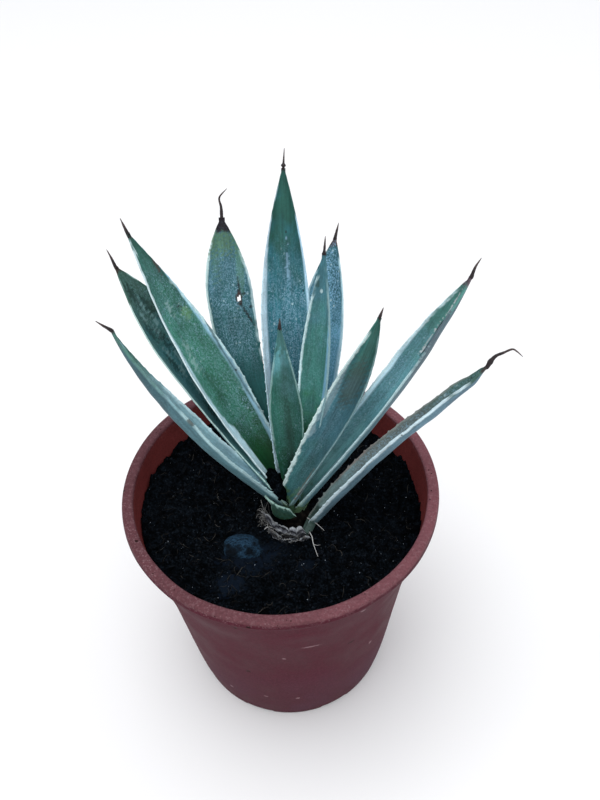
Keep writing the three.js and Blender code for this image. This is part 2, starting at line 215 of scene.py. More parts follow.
def grid_quads(rows: int, columns: int, around: bool = False) -> Array:
    """Faces of a grid of points stored row by row.

    Args:
        rows: how many rows of points.
        columns: points in each row.
        around: whether each row is closed.

    Returns:
        Quads as rows of four point numbers.
    """
    r = np.arange(rows - 1)[:, None]
    c = np.arange(columns if around else columns - 1)[None, :]
    a, b = r * columns + c, r * columns + (c + 1) % columns
    return np.stack([a, b, b + columns, a + columns], -1).reshape(-1, 4)


def pole_fans(rows: int, columns: int) -> Array:
    """Triangles that close a grid of closed rows at both ends.

    Args:
        rows: how many rows of points.
        columns: points in each row.

    Returns:
        Triangles to the two points that follow the grid's own.
    """
    i = np.arange(columns)
    j = (i + 1) % columns
    pole, last = np.full(columns, rows * columns), (rows - 1) * columns
    return np.concatenate([np.stack([j, i, pole], -1), np.stack([last + i, last + j, pole + 1], -1)])


def repeated(faces: Array, count: int, step: int) -> Array:
    """The same faces for each of several like parts, whose points follow one another by a step."""
    return (faces[None] + (np.arange(count) * step)[:, None, None]).reshape(-1, faces.shape[1])


def lathed(radius: Array, height: Array, columns: int) -> Array:
    """Turns a profile about Z: x = r cos(turn), y = r sin(turn), z = height.

    Args:
        radius: one radius for each row, as a column.
        height: one height for each row, or for each point.
        columns: how many points go round.

    Returns:
        Points, rows x columns x 3.
    """
    turn = turns(columns)
    return np.stack([radius * np.cos(turn), radius * np.sin(turn), height + 0 * turn], -1)


def closed_lathe(place: Array, ends: Sequence[Sequence[float]]) -> Skin:
    """Closes rings of points with a point at each end.

    Args:
        place: points, rows x columns x 3.
        ends: the point before the first ring and the one after the last.

    Returns:
        The closed skin, its two end points last.
    """
    rows, columns = place.shape[:2]
    points = np.concatenate([place.reshape(-1, 3), ends])
    return Skin(points, grid_quads(rows, columns, around=True), pole_fans(rows, columns))


def ball(rows: int, columns: int) -> Skin:
    """A sphere of radius 1.

    Args:
        rows: how many rings lie between its poles.
        columns: points in each ring.

    Returns:
        The sphere, whose points are also its directions.
    """
    lift = np.linspace(-np.pi / 2, np.pi / 2, rows + 2)[1:-1, None]
    return closed_lathe(lathed(np.cos(lift), np.sin(lift), columns), [[0, 0, -1], [0, 0, 1]])


def closed_blade(upper: Array, lower: Array, kept: Optional[Array] = None) -> tuple[Array, Array]:
    """Joins two facing grids into one closed blade, with walls round its rim and round any gap in it.

    A cell that is kept has a face on both grids. Each edge between a kept cell and an empty one,
    or the outside, gets a wall from the upper grid to the lower one.

    Args:
        upper: upper points, rows x columns x 3.
        lower: lower points, alike.
        kept: for each of the (rows - 1) x (columns - 1) cells, whether it is there.

    Returns:
        The points, upper ones first, and the quads.
    """
    rows, columns = upper.shape[:2]
    keep = np.ones((rows - 1, columns - 1), bool) if kept is None else kept
    index = np.arange(rows * columns).reshape(rows, columns)
    a, b, c, d = index[:-1, :-1], index[:-1, 1:], index[1:, 1:], index[1:, :-1]
    below = rows * columns
    faces = [np.stack([a, b, c, d], -1)[keep], (np.stack([d, c, b, a], -1) + below)[keep]]
    padded = np.pad(keep, 1)
    sides = (
        (padded[:-2, 1:-1], a, b),
        (padded[1:-1, 2:], b, c),
        (padded[2:, 1:-1], c, d),
        (padded[1:-1, :-2], d, a),
    )
    for neighbour, start, end in sides:
        open_edge = keep & ~neighbour
        faces.append(np.stack([end, start, start + below, end + below], -1)[open_edge])
    points = np.concatenate([upper.reshape(-1, 3), lower.reshape(-1, 3)])
    return points, np.concatenate(faces)


def tubes(paths: Array, radii: Array, sides: int) -> Skin:
    """Round tubes along many paths at once: each ring lies square to its path, and both ends come to a point.

    Args:
        paths: tubes x points x 3, the centre lines.
        radii: tubes x points, the radius along each.
        sides: corners of each ring.

    Returns:
        All the tubes as one skin, each tube's rings followed by its two end points.
    """
    count, length = paths.shape[:2]
    along = unit(np.gradient(paths, axis=1))
    mean = unit(along.mean(1))
    helper = np.eye(3)[np.abs(mean).argmin(1)][:, None, :]
    side = unit(np.cross(along, helper))
    up = np.cross(side, along)
    turn = turns(sides)[:, None]
    ring = side[:, :, None] * np.cos(turn) + up[:, :, None] * np.sin(turn)
    body = paths[:, :, None] + ring * radii[:, :, None, None]
    tips = [paths[:, 0] - along[:, 0] * radii[:, :1], paths[:, -1] + along[:, -1] * radii[:, -1:]]
    points = np.concatenate([body.reshape(count, -1, 3), np.stack(tips, 1)], 1).reshape(-1, 3)
    step = length * sides + 2
    quads = repeated(grid_quads(length, sides, around=True)[:, ::-1], count, step)
    return Skin(points, quads, repeated(pole_fans(length, sides)[:, [1, 0, 2]], count, step))


# ---- finishes


class Shader:
    """Builds one procedural material: short calls that add a node and return its output socket."""

    def __init__(self, name: str) -> None:
        """Starts a material that has a Principled shader and nothing else.

        Args:
            name: the material's name.
        """
        self.material = bpy.data.materials.new(name)
        self.material.use_nodes = True
        self.nodes = self.material.node_tree.nodes
        self.links = self.material.node_tree.links
        self.surface = self.nodes["Principled BSDF"]
        self.place = self.add("ShaderNodeTexCoord", "Object", {})

    def feed(self, socket: Socket, value: object) -> None:
        """Links a socket to another, or gives it a constant.

        Args:
            socket: the input.
            value: an output socket, a number, a tuple of numbers or a hex code.
        """
        if isinstance(value, str):
            value = rgba(value)
        if isinstance(value, bpy.types.NodeSocket):
            self.links.new(value, socket)
        else:
            socket.default_value = value

    def add(self, kind: str, output: object, sockets: dict, **settings: object) -> Socket:
        """Adds a node, sets its properties and feeds its inputs.

        Args:
            kind: the node's type.
            output: name or number of the output wanted.
            sockets: what each input gets, by its name or number.
            settings: the node's properties.

        Returns:
            The output.
        """
        node = self.nodes.new(kind)
        for key, value in settings.items():
            setattr(node, key, value)
        for key, value in sockets.items():
            self.feed(node.inputs[key], value)
        return node.outputs[output]

    def calc(self, kind: str, first: object, second: object, clamp: bool = False) -> Socket:
        """One Math node, whose operation is kind."""
        return self.add("ShaderNodeMath", 0, {0: first, 1: second}, operation=kind, use_clamp=clamp)

    def times(self, first: object, *others: object) -> Socket:
        """Multiplies values by one another.

        Args:
            first: the first value.
            others: what it is multiplied by, one after another.

        Returns:
            The product.
        """
        for other in others:
            first = self.calc("MULTIPLY", first, other)
        return first

    def plus(self, first: object, second: object) -> Socket:
        """Adds two values."""
        return self.calc("ADD", first, second)

    def attribute(self, name: str, output: str = "Fac") -> Socket:
        """Reads a value that the mesh carries at its points."""
        return self.add("ShaderNodeAttribute", output, {}, attribute_name=name)

    def stretch(self, vector: Socket, scale: Sequence[float]) -> Socket:
        """Multiplies a vector by three factors."""
        return self.add("ShaderNodeVectorMath", 0, {0: vector, 1: tuple(scale)}, operation="MULTIPLY")

    def cloud(self, vector: Socket, scale: float, detail: float = 3.0, rough: float = 0.55) -> Socket:
        """Fractal noise, about 0.25 to 0.75."""
        sockets = {"Vector": vector, "Scale": scale, "Detail": detail, "Roughness": rough}
        return self.add("ShaderNodeTexNoise", "Fac", sockets, noise_dimensions="3D")

    def cells(self, vector: Socket, scale: float = 1.0, output: str = "Distance") -> Socket:
        """Distance to the nearest of scattered points, or that cell's random colour."""
        return self.add("ShaderNodeTexVoronoi", output, {"Vector": vector, "Scale": scale}, feature="F1")

    def window(self, value: object, low: float, high: float, start: float = 0.0, end: float = 1.0) -> Socket:
        """Maps low..high to start..end smoothly, and holds it outside them."""
        sockets = {"Value": value, "From Min": low, "From Max": high, "To Min": start, "To Max": end}
        return self.add("ShaderNodeMapRange", "Result", sockets, interpolation_type="SMOOTHSTEP")

    def between(self, value: Socket, span: Sequence[float], start: float = 0.0, end: float = 1.0) -> Socket:
        """A window whose span is in millimetres."""
        return self.window(value, span[0] * MM, span[1] * MM, start, end)

    def swing(self, noise: Socket, low: float, high: float, reach: float = 0.2) -> Socket:
        """Maps a noise's usual span, 0.5 less and plus its reach, to low..high."""
        return self.window(noise, 0.5 - reach, 0.5 + reach, low, high)

    def over(self, cover: object, under: object, top: object) -> Socket:
        """Lays the top colour over the under one, by a cover from 0 to 1."""
        sockets = {"Factor": cover, "A": under, "B": top}
        return self.add("ShaderNodeMix", "Result", sockets, data_type="RGBA", blend_type="MIX")

    def scaled(self, colour: object, factor: Socket) -> Socket:
        """A colour made lighter or darker by a factor."""
        start = rgba(colour)[:3] if isinstance(colour, str) else colour
        return self.add("ShaderNodeVectorMath", 0, {0: start, "Scale": factor}, operation="SCALE")

    def waver(self, colour: Socket, noise: Socket, amount: float, reach: float = 0.2) -> Socket:
        """Makes a colour darker and lighter by a noise, by the same amount each way."""
        return self.scaled(colour, self.swing(noise, 1 - amount, 1 + amount, reach))

    def spot(self, centre: Sequence[float], half: Sequence[float], ragged: Socket) -> Socket:
        """1 inside an ellipsoid and 0 outside it, with a ragged, faded edge.

        Args:
            centre: its centre in millimetres.
            half: its three half sizes in millimetres.
            ragged: noise that moves its edge, as a share of its size.

        Returns:
            The cover.
        """
        middle, grow = tuple(v * MM for v in centre), [1.0 / (h * MM) for h in half]
        moved = self.add("ShaderNodeVectorMath", 0, {0: self.place, 1: middle}, operation="SUBTRACT")
        far = self.add("ShaderNodeVectorMath", "Value", {0: self.stretch(moved, grow)}, operation="LENGTH")
        return self.window(self.plus(far, ragged), 1.25, 0.8)

    def finish(
        self,
        colour: object,
        roughness: object,
        specular: float,
        height: Optional[Socket] = None,
        depth: float = 0.1,
    ) -> bpy.types.Material:
        """Feeds the shader.

        Args:
            colour: base colour.
            roughness: roughness.
            specular: level of the mirror-like part.
            height: relief, 0 to 1, or None.
            depth: what 1 of height means, in millimetres.

        Returns:
            The material.
        """
        sockets = {"Base Color": colour, "Roughness": roughness, "Specular IOR Level": specular}
        if height is not None:
            bump = {"Height": height, "Distance": depth * MM, "Strength": 1.0}
            sockets["Normal"] = self.add("ShaderNodeBump", "Normal", bump)
        for key, value in sockets.items():
            self.feed(self.surface.inputs[key], value)
        return self.material


@dataclass(frozen=True)
class PlasticFinish:
    """Dusty burgundy plastic of the pot, with speckles on its lip and a few scuffs.

    Spans and the places and half sizes of scuffs and gouges are in millimetres.
    """

    wall: str = "#4a1926"
    # painted light: the lip is the wall's plastic, painted in this lighter tone for the light on its top
    lip: str = "#684046"
    # painted light: the inner wall is the same plastic, painted lighter and redder for the light that reaches
    # inside
    inside: str = "#6e302f"
    dust: str = "#4d3743"
    scuff: str = "#a98b90"
    gouge: str = "#24100f"
    # painted light and shade: the lighter lip tone covers only the lip's top, and its side keeps the wall's
    # darker tone
    lit_lip_edge: tuple = (175.4, 177.6)
    # painted light: the lip tone is scaled from the first to the second factor, from left to right over this
    # x span
    lip_side: tuple = (-100.0, 100.0)
    lip_painted_light: tuple = (0.7, 1.2)
    inside_edge: tuple = (177.8, 175.0)
    rim: tuple = (172.2, 176.8)
    dusty: tuple = (110.0, 10.0)
    scuffs: tuple = (
        ((11.1, -86.4, 126.0), (6.0, 2.0, 0.8)),
        ((-5.9, -84.1, 109.4), (1.2, 2.0, 1.0)),
        ((42.3, -83.2, 157.4), (1.6, 2.0, 0.9)),
        ((51.8, -61.9, 79.3), (1.2, 2.0, 1.6)),
        ((-45.1, -59.9, 28.8), (1.0, 2.0, 1.4)),
        ((1.0, -75.7, 34.8), (1.3, 2.0, 1.3)),
        ((-21.0, -72.9, 36.3), (1.4, 2.0, 0.8)),
        ((28.0, 70.0, 90.0), (5.0, 3.0, 1.0)),
        ((-60.0, 50.0, 60.0), (2.0, 3.0, 1.2)),
    )
    gouges: tuple = (
        ((36.9, -75.5, 107.4), (3.0, 2.0, 0.9)),
        ((-30.3, -74.8, 79.1), (1.3, 2.0, 1.2)),
        ((-31.4, -88.3, 159.4), (1.0, 2.0, 0.9)),
        ((-88.1, -36.2, 178.5), (0.9, 0.9, 1.5)),
        ((-99.1, 2.8, 177.7), (1.2, 0.9, 1.2)),
        ((-23.6, -97.0, 174.8), (1.0, 1.5, 0.9)),
        ((45.0, 66.0, 70.0), (2.4, 2.0, 0.9)),
    )

    def material(self) -> bpy.types.Material:
        """Paints wall, lip and inside by height, then dust, speckles, scuffs and gouges.
        The lip's lighter top, lightest at the right, is painted light.

        Returns:
            The material.
        """
        s = Shader("dusty_burgundy_plastic")
        x, z = (s.add("ShaderNodeSeparateXYZ", axis, {0: s.place}) for axis in "XZ")
        broad = s.cloud(s.place, 22.0, 4.0, 0.6)
        grain = s.cloud(s.place, 700.0, 2.0, 0.7)
        fine = s.cloud(s.place, 2600.0, 1.0, 0.5)
        # painted light: the lip is lighter towards the right, and lighter than the wall on its top only
        lip = s.scaled(self.lip, s.between(x, self.lip_side, *self.lip_painted_light))
        colour = s.over(s.between(z, self.lit_lip_edge), self.wall, lip)
        # painted light: the lighter inside tone on the inner wall
        inner = s.times(s.attribute("inside"), s.between(z, self.inside_edge))
        colour = s.over(inner, colour, self.inside)
        low = s.times(s.between(z, self.dusty), s.window(broad, 0.42, 0.62, 0.1, 0.5))
        colour = s.over(low, colour, self.dust)
        colour = s.waver(s.scaled(colour, s.swing(broad, 0.88, 1.1)), grain, 0.16)
        rim = s.between(z, self.rim)
        coarse = s.times(s.window(s.cloud(s.place, 420.0, 3.0, 0.75), 0.5, 0.66), rim, 0.14)
        specks = s.times(s.window(s.cells(s.place, 620.0), 0.34, 0.18), s.window(broad, 0.45, 0.6, 0.25, 1.0))
        specks = s.times(specks, s.window(rim, 0, 1, 0.04, 0.26))
        for cover in (coarse, specks):
            colour = s.over(cover, colour, self.scuff)
        pits = s.window(s.cells(s.place, 300.0), 0.2, 0.1)
        sparse = s.window(s.cells(s.place, 90.0, "Color"), 0.55, 0.6)
        colour = s.over(s.times(pits, sparse, rim), colour, self.gouge)
        ragged = s.swing(grain, -0.35, 0.35)
        for centre, half in self.scuffs:
            colour = s.over(s.times(s.spot(centre, half, ragged), 0.45), colour, self.scuff)
        cuts = [s.spot(centre, half, ragged) for centre, half in self.gouges]
        for cut in cuts:
            colour = s.over(cut, colour, self.gouge)
        relief = s.plus(s.times(grain, 0.7), s.times(fine, 0.3))
        deepest = reduce(lambda one, other: s.calc("MAXIMUM", one, other), cuts)
        relief = s.calc("SUBTRACT", relief, s.times(deepest, 2.0))
        return s.finish(colour, s.swing(broad, 0.52, 0.72), 0.08, relief, 0.1)


@dataclass(frozen=True)
class MixFinish:
    """Near-black potting mix, with bluish dusty stains as centre, half sizes in millimetres and cover."""

    name: str
    dark: str = "#010203"
    light: str = "#192028"
    dust: str = "#16202e"
    size: float = 900.0
    stains: tuple = (
        ((-35.0, -59.0, 157.0), (9.0, 6.5, 5.0), 0.55),
        ((-22.0, -43.0, 155.0), (19.0, 9.0, 5.0), 0.4),
        ((-10.0, -36.0, 155.0), (12.0, 6.0, 5.0), 0.25),
        ((12.0, -50.0, 155.0), (6.0, 4.0, 5.0), 0.3),
    )

    def material(self) -> bpy.types.Material:
        """Two noises, one for clumps and one for grains, from dark to lighter, then the stains.

        Returns:
            The material.
        """
        s = Shader(self.name)
        clumps = s.cloud(s.place, self.size * 0.25, 5.0, 0.65)
        grains = s.cloud(s.place, self.size, 3.0, 0.7)
        both = s.times(s.window(clumps, 0.35, 0.7), s.window(grains, 0.35, 0.75))
        colour = s.over(both, self.dark, self.light)
        ragged = s.swing(clumps, -0.5, 0.5)
        for centre, half, cover in self.stains:
            colour = s.over(s.times(s.spot(centre, half, ragged), cover), colour, self.dust)
        return s.finish(colour, 0.95, 0.02, grains, 0.6)


@dataclass(frozen=True)
class TintFinish:
    """A finish whose broad colours the mesh carries as "tint", with fibres or grain added here."""

    name: str
    fibre: tuple = (900.0, 900.0, 900.0)
    contrast: float = 0.25
    roughness: float = 0.8
    relief: float = 0.25
    specular: float = 0.15
    follows: str = "Object"

    def material(self) -> bpy.types.Material:
        """Darkens and lightens the tint along fibres, and raises them.

        Returns:
            The material.
        """
        s = Shader(self.name)
        where = s.place if self.follows == "Object" else s.attribute(self.follows, "Vector")
        lines = s.cloud(s.stretch(where, self.fibre), 1.0, 4.0, 0.65)
        fine = s.cloud(s.place, 2400.0, 2.0, 0.6)
        colour = s.waver(s.attribute("tint", "Color"), lines, self.contrast, 0.22)
        colour = s.waver(colour, fine, 0.1)
        roughness = s.swing(lines, self.roughness - 0.08, self.roughness + 0.08)
        return s.finish(colour, roughness, self.specular, lines, self.relief)


@dataclass(frozen=True)
class SkinFinish:
    """Waxy agave skin: fine lengthwise streaks, powdery bloom in specks, and rare dark pits."""

    name: str
    speck: str = "#b6d2d8"
    powder: str = "#86aabf"
    pit: str = "#1c2422"
    specks: float = 0.75
    streaks: float = 0.2
    mottle: float = 0.14

    def material(self) -> bpy.types.Material:
        """Works in the leaf's own flat coordinates, in millimetres across and along.

        Returns:
            The material.
        """
        s = Shader(self.name)
        flat = s.attribute("flat", "Vector")
        bloom = s.attribute("bloom")
        streak = s.cloud(s.stretch(flat, (1.1, 0.05, 1.0)), 1.0, 4.0, 0.65)
        broad = s.cloud(s.stretch(flat, (0.14, 0.05, 1.0)), 1.0, 3.0, 0.6)
        film = s.cloud(s.stretch(flat, (1.1, 0.75, 1.0)), 1.0, 4.0, 0.8)
        drift = s.cloud(s.stretch(flat, (0.16, 0.1, 1.0)), 1.0, 4.0, 0.7)
        colour = s.waver(s.attribute("tint", "Color"), streak, self.streaks, 0.22)
        colour = s.waver(colour, broad, 0.16)
        colour = s.waver(colour, film, self.mottle)
        colour = s.over(s.times(bloom, s.window(film, 0.46, 0.62), 0.5), colour, self.powder)
        patchy = s.times(s.window(broad, 0.4, 0.58, 0.35, 1.0), s.window(drift, 0.42, 0.58, 0.3, 1.25))
        dusty = s.times(bloom, patchy)
        ragged = s.swing(film, -0.12, 0.12)
        for per_mm, edge, core, rare, strength, tone in (
            (1.25, 0.5, 0.28, 0.3, 1.1, self.powder),
            (0.42, 0.3, 0.17, 0.62, 0.9, self.speck),
        ):
            grid = s.stretch(flat, (per_mm, per_mm * 0.8, 1.0))
            dots = s.window(s.plus(s.cells(grid), ragged), edge, core)
            chosen = s.window(s.cells(grid, output="Color"), rare, rare + 0.15)
            cover = s.calc("MULTIPLY", s.times(dots, chosen, dusty), self.specks * strength, clamp=True)
            colour = s.over(cover, colour, tone)
        pits = s.window(s.cells(s.stretch(flat, (0.1, 0.055, 1.0))), 0.06, 0.035)
        colour = s.over(s.times(pits, 0.8), colour, self.pit)
        relief = s.plus(s.times(streak, 0.6), s.times(film, 0.4))
        s.surface.inputs["Sheen Weight"].default_value = 0.05
        s.surface.inputs["Sheen Roughness"].default_value = 0.4
        roughness = s.plus(s.swing(film, 0.44, 0.56), s.times(bloom, 0.1))
        return s.finish(colour, roughness, 0.24, relief, 0.12)


def dress(
    piece: bpy.types.Object, material: bpy.types.Material, node: Optional[str] = None
) -> None:
    """Gives a piece its material and body, hides the CAD node that it stands for and logs it.

    Args:
        piece: the object.
        material: its finish.
        node: the CAD node that it replaces, if any.
    """
    piece.data.materials.append(material)
    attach(piece, "root")
    if node:
        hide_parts(node)
    stands_for = node or "nothing in the CAD"
    LOG.info("%s: %d faces, stands for %s", piece.name, len(piece.data.polygons), stands_for)


# ---- the pot


@dataclass
class Pot:
    """Round nursery pot: lathe profile as radius and height, with pockets and drain holes in its foot."""

    wall: float = 2.1
    floor: float = 3.6
    foot: float = 70.8
    outside: tuple = ((73.9, 20), (77.5, 50), (81, 82), (84.4, 110), (88.6, 135), (92.2, 151), (94.9, 166))
    lip: tuple = (
        (97.6, 169.8), (100, 173), (99.6, 177.3), (98.4, 178.5), (94.2, 178.5), (92.8, 177.4), (92.2, 168),
    )
    segments: int = 288
    pockets: int = 8
    pocket_width: float = 21.0
    pocket_depth: float = 12.0
    pocket_height: float = 2.2
    drain_radius: float = 4.0
    drain_circle: float = 62.0
    drain_sides: int = 24
    unevenness: float = 0.12
    finish: PlasticFinish = field(default_factory=PlasticFinish)

    def profile(self) -> tuple[Array, Array]:
        """Closes the profile from the axis under the floor, up the wall, over the lip and back down inside.

        The outside and the lip are smooth curves through their named points. The inside follows the
        outside at the wall's thickness.

        Returns:
            Radius and height along the profile, and whether each point is on the inner side.
        """
        inmost = self.foot - self.pocket_depth
        under = np.array([[inmost - 0.2, 0.0], [inmost + 0.1, 0.0], [self.foot - 1.2, 0.0]])
        rising = curve_through(np.array([(self.foot, 1.2), *self.outside], float), 70)
        over = curve_through(np.array([self.outside[-1], *self.lip[:5]], float), 34)[1:]
        rolled = np.array([self.lip[4], (93.4, 178.2), self.lip[5], (92.45, 173), self.lip[6]])
        inner_top = curve_through(rolled, 12)[1:]
        inward = np.array([(r - self.wall, z) for r, z in self.outside[:-1]], float)[::-1]
        down = np.vstack([self.lip[6], inward, [self.foot - self.wall + 0.5, self.floor]])
        falling = curve_through(down, 60)[1:]
        line = np.vstack([under, rising, over, inner_top, falling])
        inside = np.zeros(len(line))
        inside[len(under) + len(rising) + len(over) :] = 1.0
        return line, inside

    def skin(self) -> Skin:
        """Turns the profile about Z, with a slight unevenness, and lifts the foot's rim at each pocket.

        Returns:
            The closed skin, whose value "inside" is 1 on the inner side.
        """
        line, inside = self.profile()
        phase = turns(self.segments) / (2 * np.pi) * self.pockets % 1.0 - 0.5
        in_pocket = np.abs(phase) * 2 * np.pi / self.pockets * self.foot < self.pocket_width / 2
        rim_row = (line[:, 1] < 1.5) & (line[:, 0] > self.foot - self.pocket_depth)
        height = np.where(rim_row[:, None] & in_pocket, self.pocket_height, line[:, 1:])
        place = lathed(line[:, :1], height, self.segments)
        wobble = self.unevenness * ripple(place, 55.0, 3, 2) * smooth(height, 8.0, 60.0)
        place[..., :2] *= 1 + (wobble / line[:, :1])[..., None]
        skin = closed_lathe(place, [[0, 0, 0], [0, 0, self.floor]])
        skin.values["inside"] = np.concatenate([np.repeat(inside, self.segments), [0, 1]])
        return skin

    def build(self) -> None:
        """Makes the pot, bores its drain holes and dresses it."""
        pot = self.skin().piece("pot_body")
        angle = (np.arange(self.pockets) + 0.5) / self.pockets * 2 * np.pi
        centres = np.stack([np.cos(angle), np.sin(angle), 0 * angle], -1) * self.drain_circle
        paths = centres[:, None] + np.array([[0, 0, -4.0], [0, 0, 4.0], [0, 0, 12.0]])
        radii = np.full((self.pockets, 3), self.drain_radius)
        bores = tubes(paths, radii, self.drain_sides).piece("drain_bores")
        cut = pot.modifiers.new("drains", "BOOLEAN")
        cut.operation, cut.solver, cut.object = "DIFFERENCE", "EXACT", bores
        bpy.context.view_layer.update()
        carved = bpy.data.meshes.new_from_object(pot.evaluated_get(bpy.context.evaluated_depsgraph_get()))
        pot.modifiers.clear()
        pot.data = carved
        bpy.data.objects.remove(bores)
        pot.data.materials.clear()
        dress(pot, self.finish.material(), "pot")


# ---- soil and stone


@dataclass
class Soil:
    """Potting mix: its rough surface, the fibres and chips on it, and pale grit."""

    level: float = 156.0
    fall: tuple = (-0.035, -0.02)
    lump: float = 0.9
    crown_dip: float = 0.8
    stem: tuple = (7.0, -8.0)
    stem_clear: float = 17.0
    bore: tuple = (
        (69.2, 3.6), (71.8, 20), (75.4, 50), (78.9, 82), (82.3, 110), (86.5, 135), (90.1, 151), (91.2, 158),
    )
    gap: float = 0.45
    floor_gap: float = 0.35
    rings: int = 130
    columns: int = 420
    stone: tuple = (-26.5, -31.5, 14.0)
    fibres: int = 900
    flakes: int = 2600
    barks: int = 150
    grits: int = 420

    def height(self, x: Array, y: Array) -> Array:
        """Height of the surface: the CAD's slight fall, broad lumps and dip round the stem, then crumbs.

        The crumbs are ripples of 9 and 3.2 mm. Another of 7 mm comes in next to the pot's wall.

        Args:
            x: places to the right, in millimetres.
            y: places away from the viewer, in millimetres.

        Returns:
            The height at each place, in millimetres.
        """
        from_stem = np.hypot(x - self.stem[0], y - self.stem[1])
        waves = np.sin(x * 0.11 + 0.6) * np.cos(y * 0.13 - 0.4) + 0.6 * np.sin(x * 0.23 - y * 0.19)
        flat = np.stack([x, y], -1)
        crumbs = 0.75 * ripple(flat, 9.0, 11, 2) + 0.5 * ripple(flat, 3.2, 12, 3)
        rim = smooth(np.hypot(x, y), 84.0, 91.0)
        return (
            self.level
            + self.fall[0] * x
            + self.fall[1] * y
            + self.lump * waves
            - self.crown_dip * hump(from_stem, 0.0, 26.0)
            + crumbs * 0.8
            + rim * 1.7 * ripple(flat, 7.0, 13, 3)
        )

    def surface(self) -> None:
        """The mix itself: rings up the bore, then rings inwards over the surface to its middle."""
        sides = np.array(self.bore, float)
        sides[0, 1] += self.floor_gap
        share = np.linspace(1.0, 0.0, self.rings + 1)[:-1, None]
        radius = np.vstack([sides[:-1, :1] - self.gap, (sides[-1, 0] - self.gap - 0.15) * share])
        place = lathed(radius, 0 * radius, self.columns)
        place[: -self.rings, :, 2] = sides[:-1, 1:]
        top = place[-self.rings :]
        top[..., 2] = self.height(top[..., 0], top[..., 1])
        middle = float(self.height(np.zeros(1), np.zeros(1))[0])
        skin = closed_lathe(place, [[0, 0, sides[0, 1]], [0, 0, middle]])
        dress(skin.piece("soil_body"), MixFinish("potting_mix").material(), "soil")

    def scatter(self, count: int, seed: int, reach: float = 89.0) -> Array:
        """Random places on the surface, clear of the stone and the stem.

        Args:
            count: how many places to draw.
            seed: chooses them.
            reach: largest distance from the pot's axis.

        Returns:
            Up to count places as rows of x, y and z.
        """
        rng = np.random.default_rng(seed)
        turn = rng.uniform(0, 2 * np.pi, count)
        radius = reach * np.sqrt(rng.uniform(0, 1, count))
        x, y = radius * np.cos(turn), radius * np.sin(turn)
        clear = np.hypot(x - self.stone[0], (y - self.stone[1]) * 1.3) > self.stone[2] + 0.5
        clear &= np.hypot(x - self.stem[0], y - self.stem[1]) > self.stem_clear
        x, y = x[clear], y[clear]
        return np.stack([x, y, self.height(x, y)], -1)

    def strands(self) -> None:
        """Curled dark fibres: each is an arc of its own length and bend, lying on the surface."""
        rng = np.random.default_rng(21)
        seats = self.scatter(self.fibres, 22, 87.0)
        n = len(seats)
        t = np.linspace(-1, 1, 7)
        length = rng.uniform(1.2, 5.0, n)
        heading = rng.uniform(0, 2 * np.pi, n)
        bend = rng.normal(0, 1.1, n)
        angle = heading[:, None] + bend[:, None] * t
        step = np.stack([np.cos(angle), np.sin(angle)], -1) * (length / 3)[:, None, None]
        flat = seats[:, None, :2] + np.cumsum(step, 1) - step.sum(1, keepdims=True) / 2
        flat *= np.minimum(1.0, 89.5 / np.linalg.norm(flat, axis=-1, keepdims=True))
        lift = self.height(flat[..., 0], flat[..., 1]) + 0.12 + rng.uniform(0, 0.9, n)[:, None] * (1 - t**2)
        paths = np.concatenate([flat, lift[..., None]], -1)
        radii = rng.uniform(0.1, 0.24, n)[:, None] * (1 - 0.75 * t**2)
        skin = tubes(paths, radii, 4)
        colour = lay("#07070a", "#45433f", rng.uniform(0, 1, n) ** 6)
        skin.values["tint"] = opaque(colour, len(skin.points) // n)
        dress(skin.piece("soil_fibres"), TintFinish("coir_fibre", specular=0.05).material())

    def chips(
        self, name: str, count: int, seed: int, sizes: tuple, tones: tuple, form: tuple = (1.0, 1.0, 1.0)
    ) -> None:
        """Small chips: stretched balls of few faces, each turned and sized at random.

        Args:
            name: the piece's name.
            count: how many to try to place.
            seed: chooses them.
            sizes: smallest and largest half size in millimetres.
            tones: darkest and lightest colour.
            form: factors on the three half sizes.
        """
        rng = np.random.default_rng(seed)
        seats = self.scatter(count, seed + 1, 89.3)
        n = len(seats)
        chip = ball(3, 6)
        way = chip.points
        half = rng.uniform(sizes[0], sizes[1], (n, 1)) * rng.uniform(0.3, 1.0, (n, 3)) * form
        basis = np.linalg.qr(rng.normal(size=(n, 3, 3)))[0]
        basis[:, :, 2] = np.cross(basis[:, :, 0], basis[:, :, 1])
        rough = 1 + rng.uniform(-0.25, 0.25, (n, len(way), 1))
        local = way * rough * half[:, None]
        points = np.einsum("nij,npj->npi", basis, local) + seats[:, None] + [0, 0, 0.15]
        tint = opaque(lay(*tones, rng.uniform(0, 1, n) ** 2), len(way))
        quads, triangles = (repeated(faces, n, len(way)) for faces in (chip.quads, chip.triangles))
        skin = Skin(points.reshape(-1, 3), quads, triangles, {"tint": tint})
        dress(skin.piece(name), TintFinish(name + "_tone", specular=0.04).material())

    def build(self) -> None:
        """Builds the surface and everything that lies loose on it."""
        self.surface()
        self.strands()
        self.chips("soil_chips", self.flakes, 31, (0.3, 1.4), ("#020305", "#191f26"))
        self.chips("soil_bark", self.barks, 35, (1.8, 4.6), ("#030405", "#1a2027"), (1.0, 0.35, 0.16))
        self.chips("soil_grit", self.grits, 41, (0.12, 0.34), ("#39424a", "#c0ccd6"))


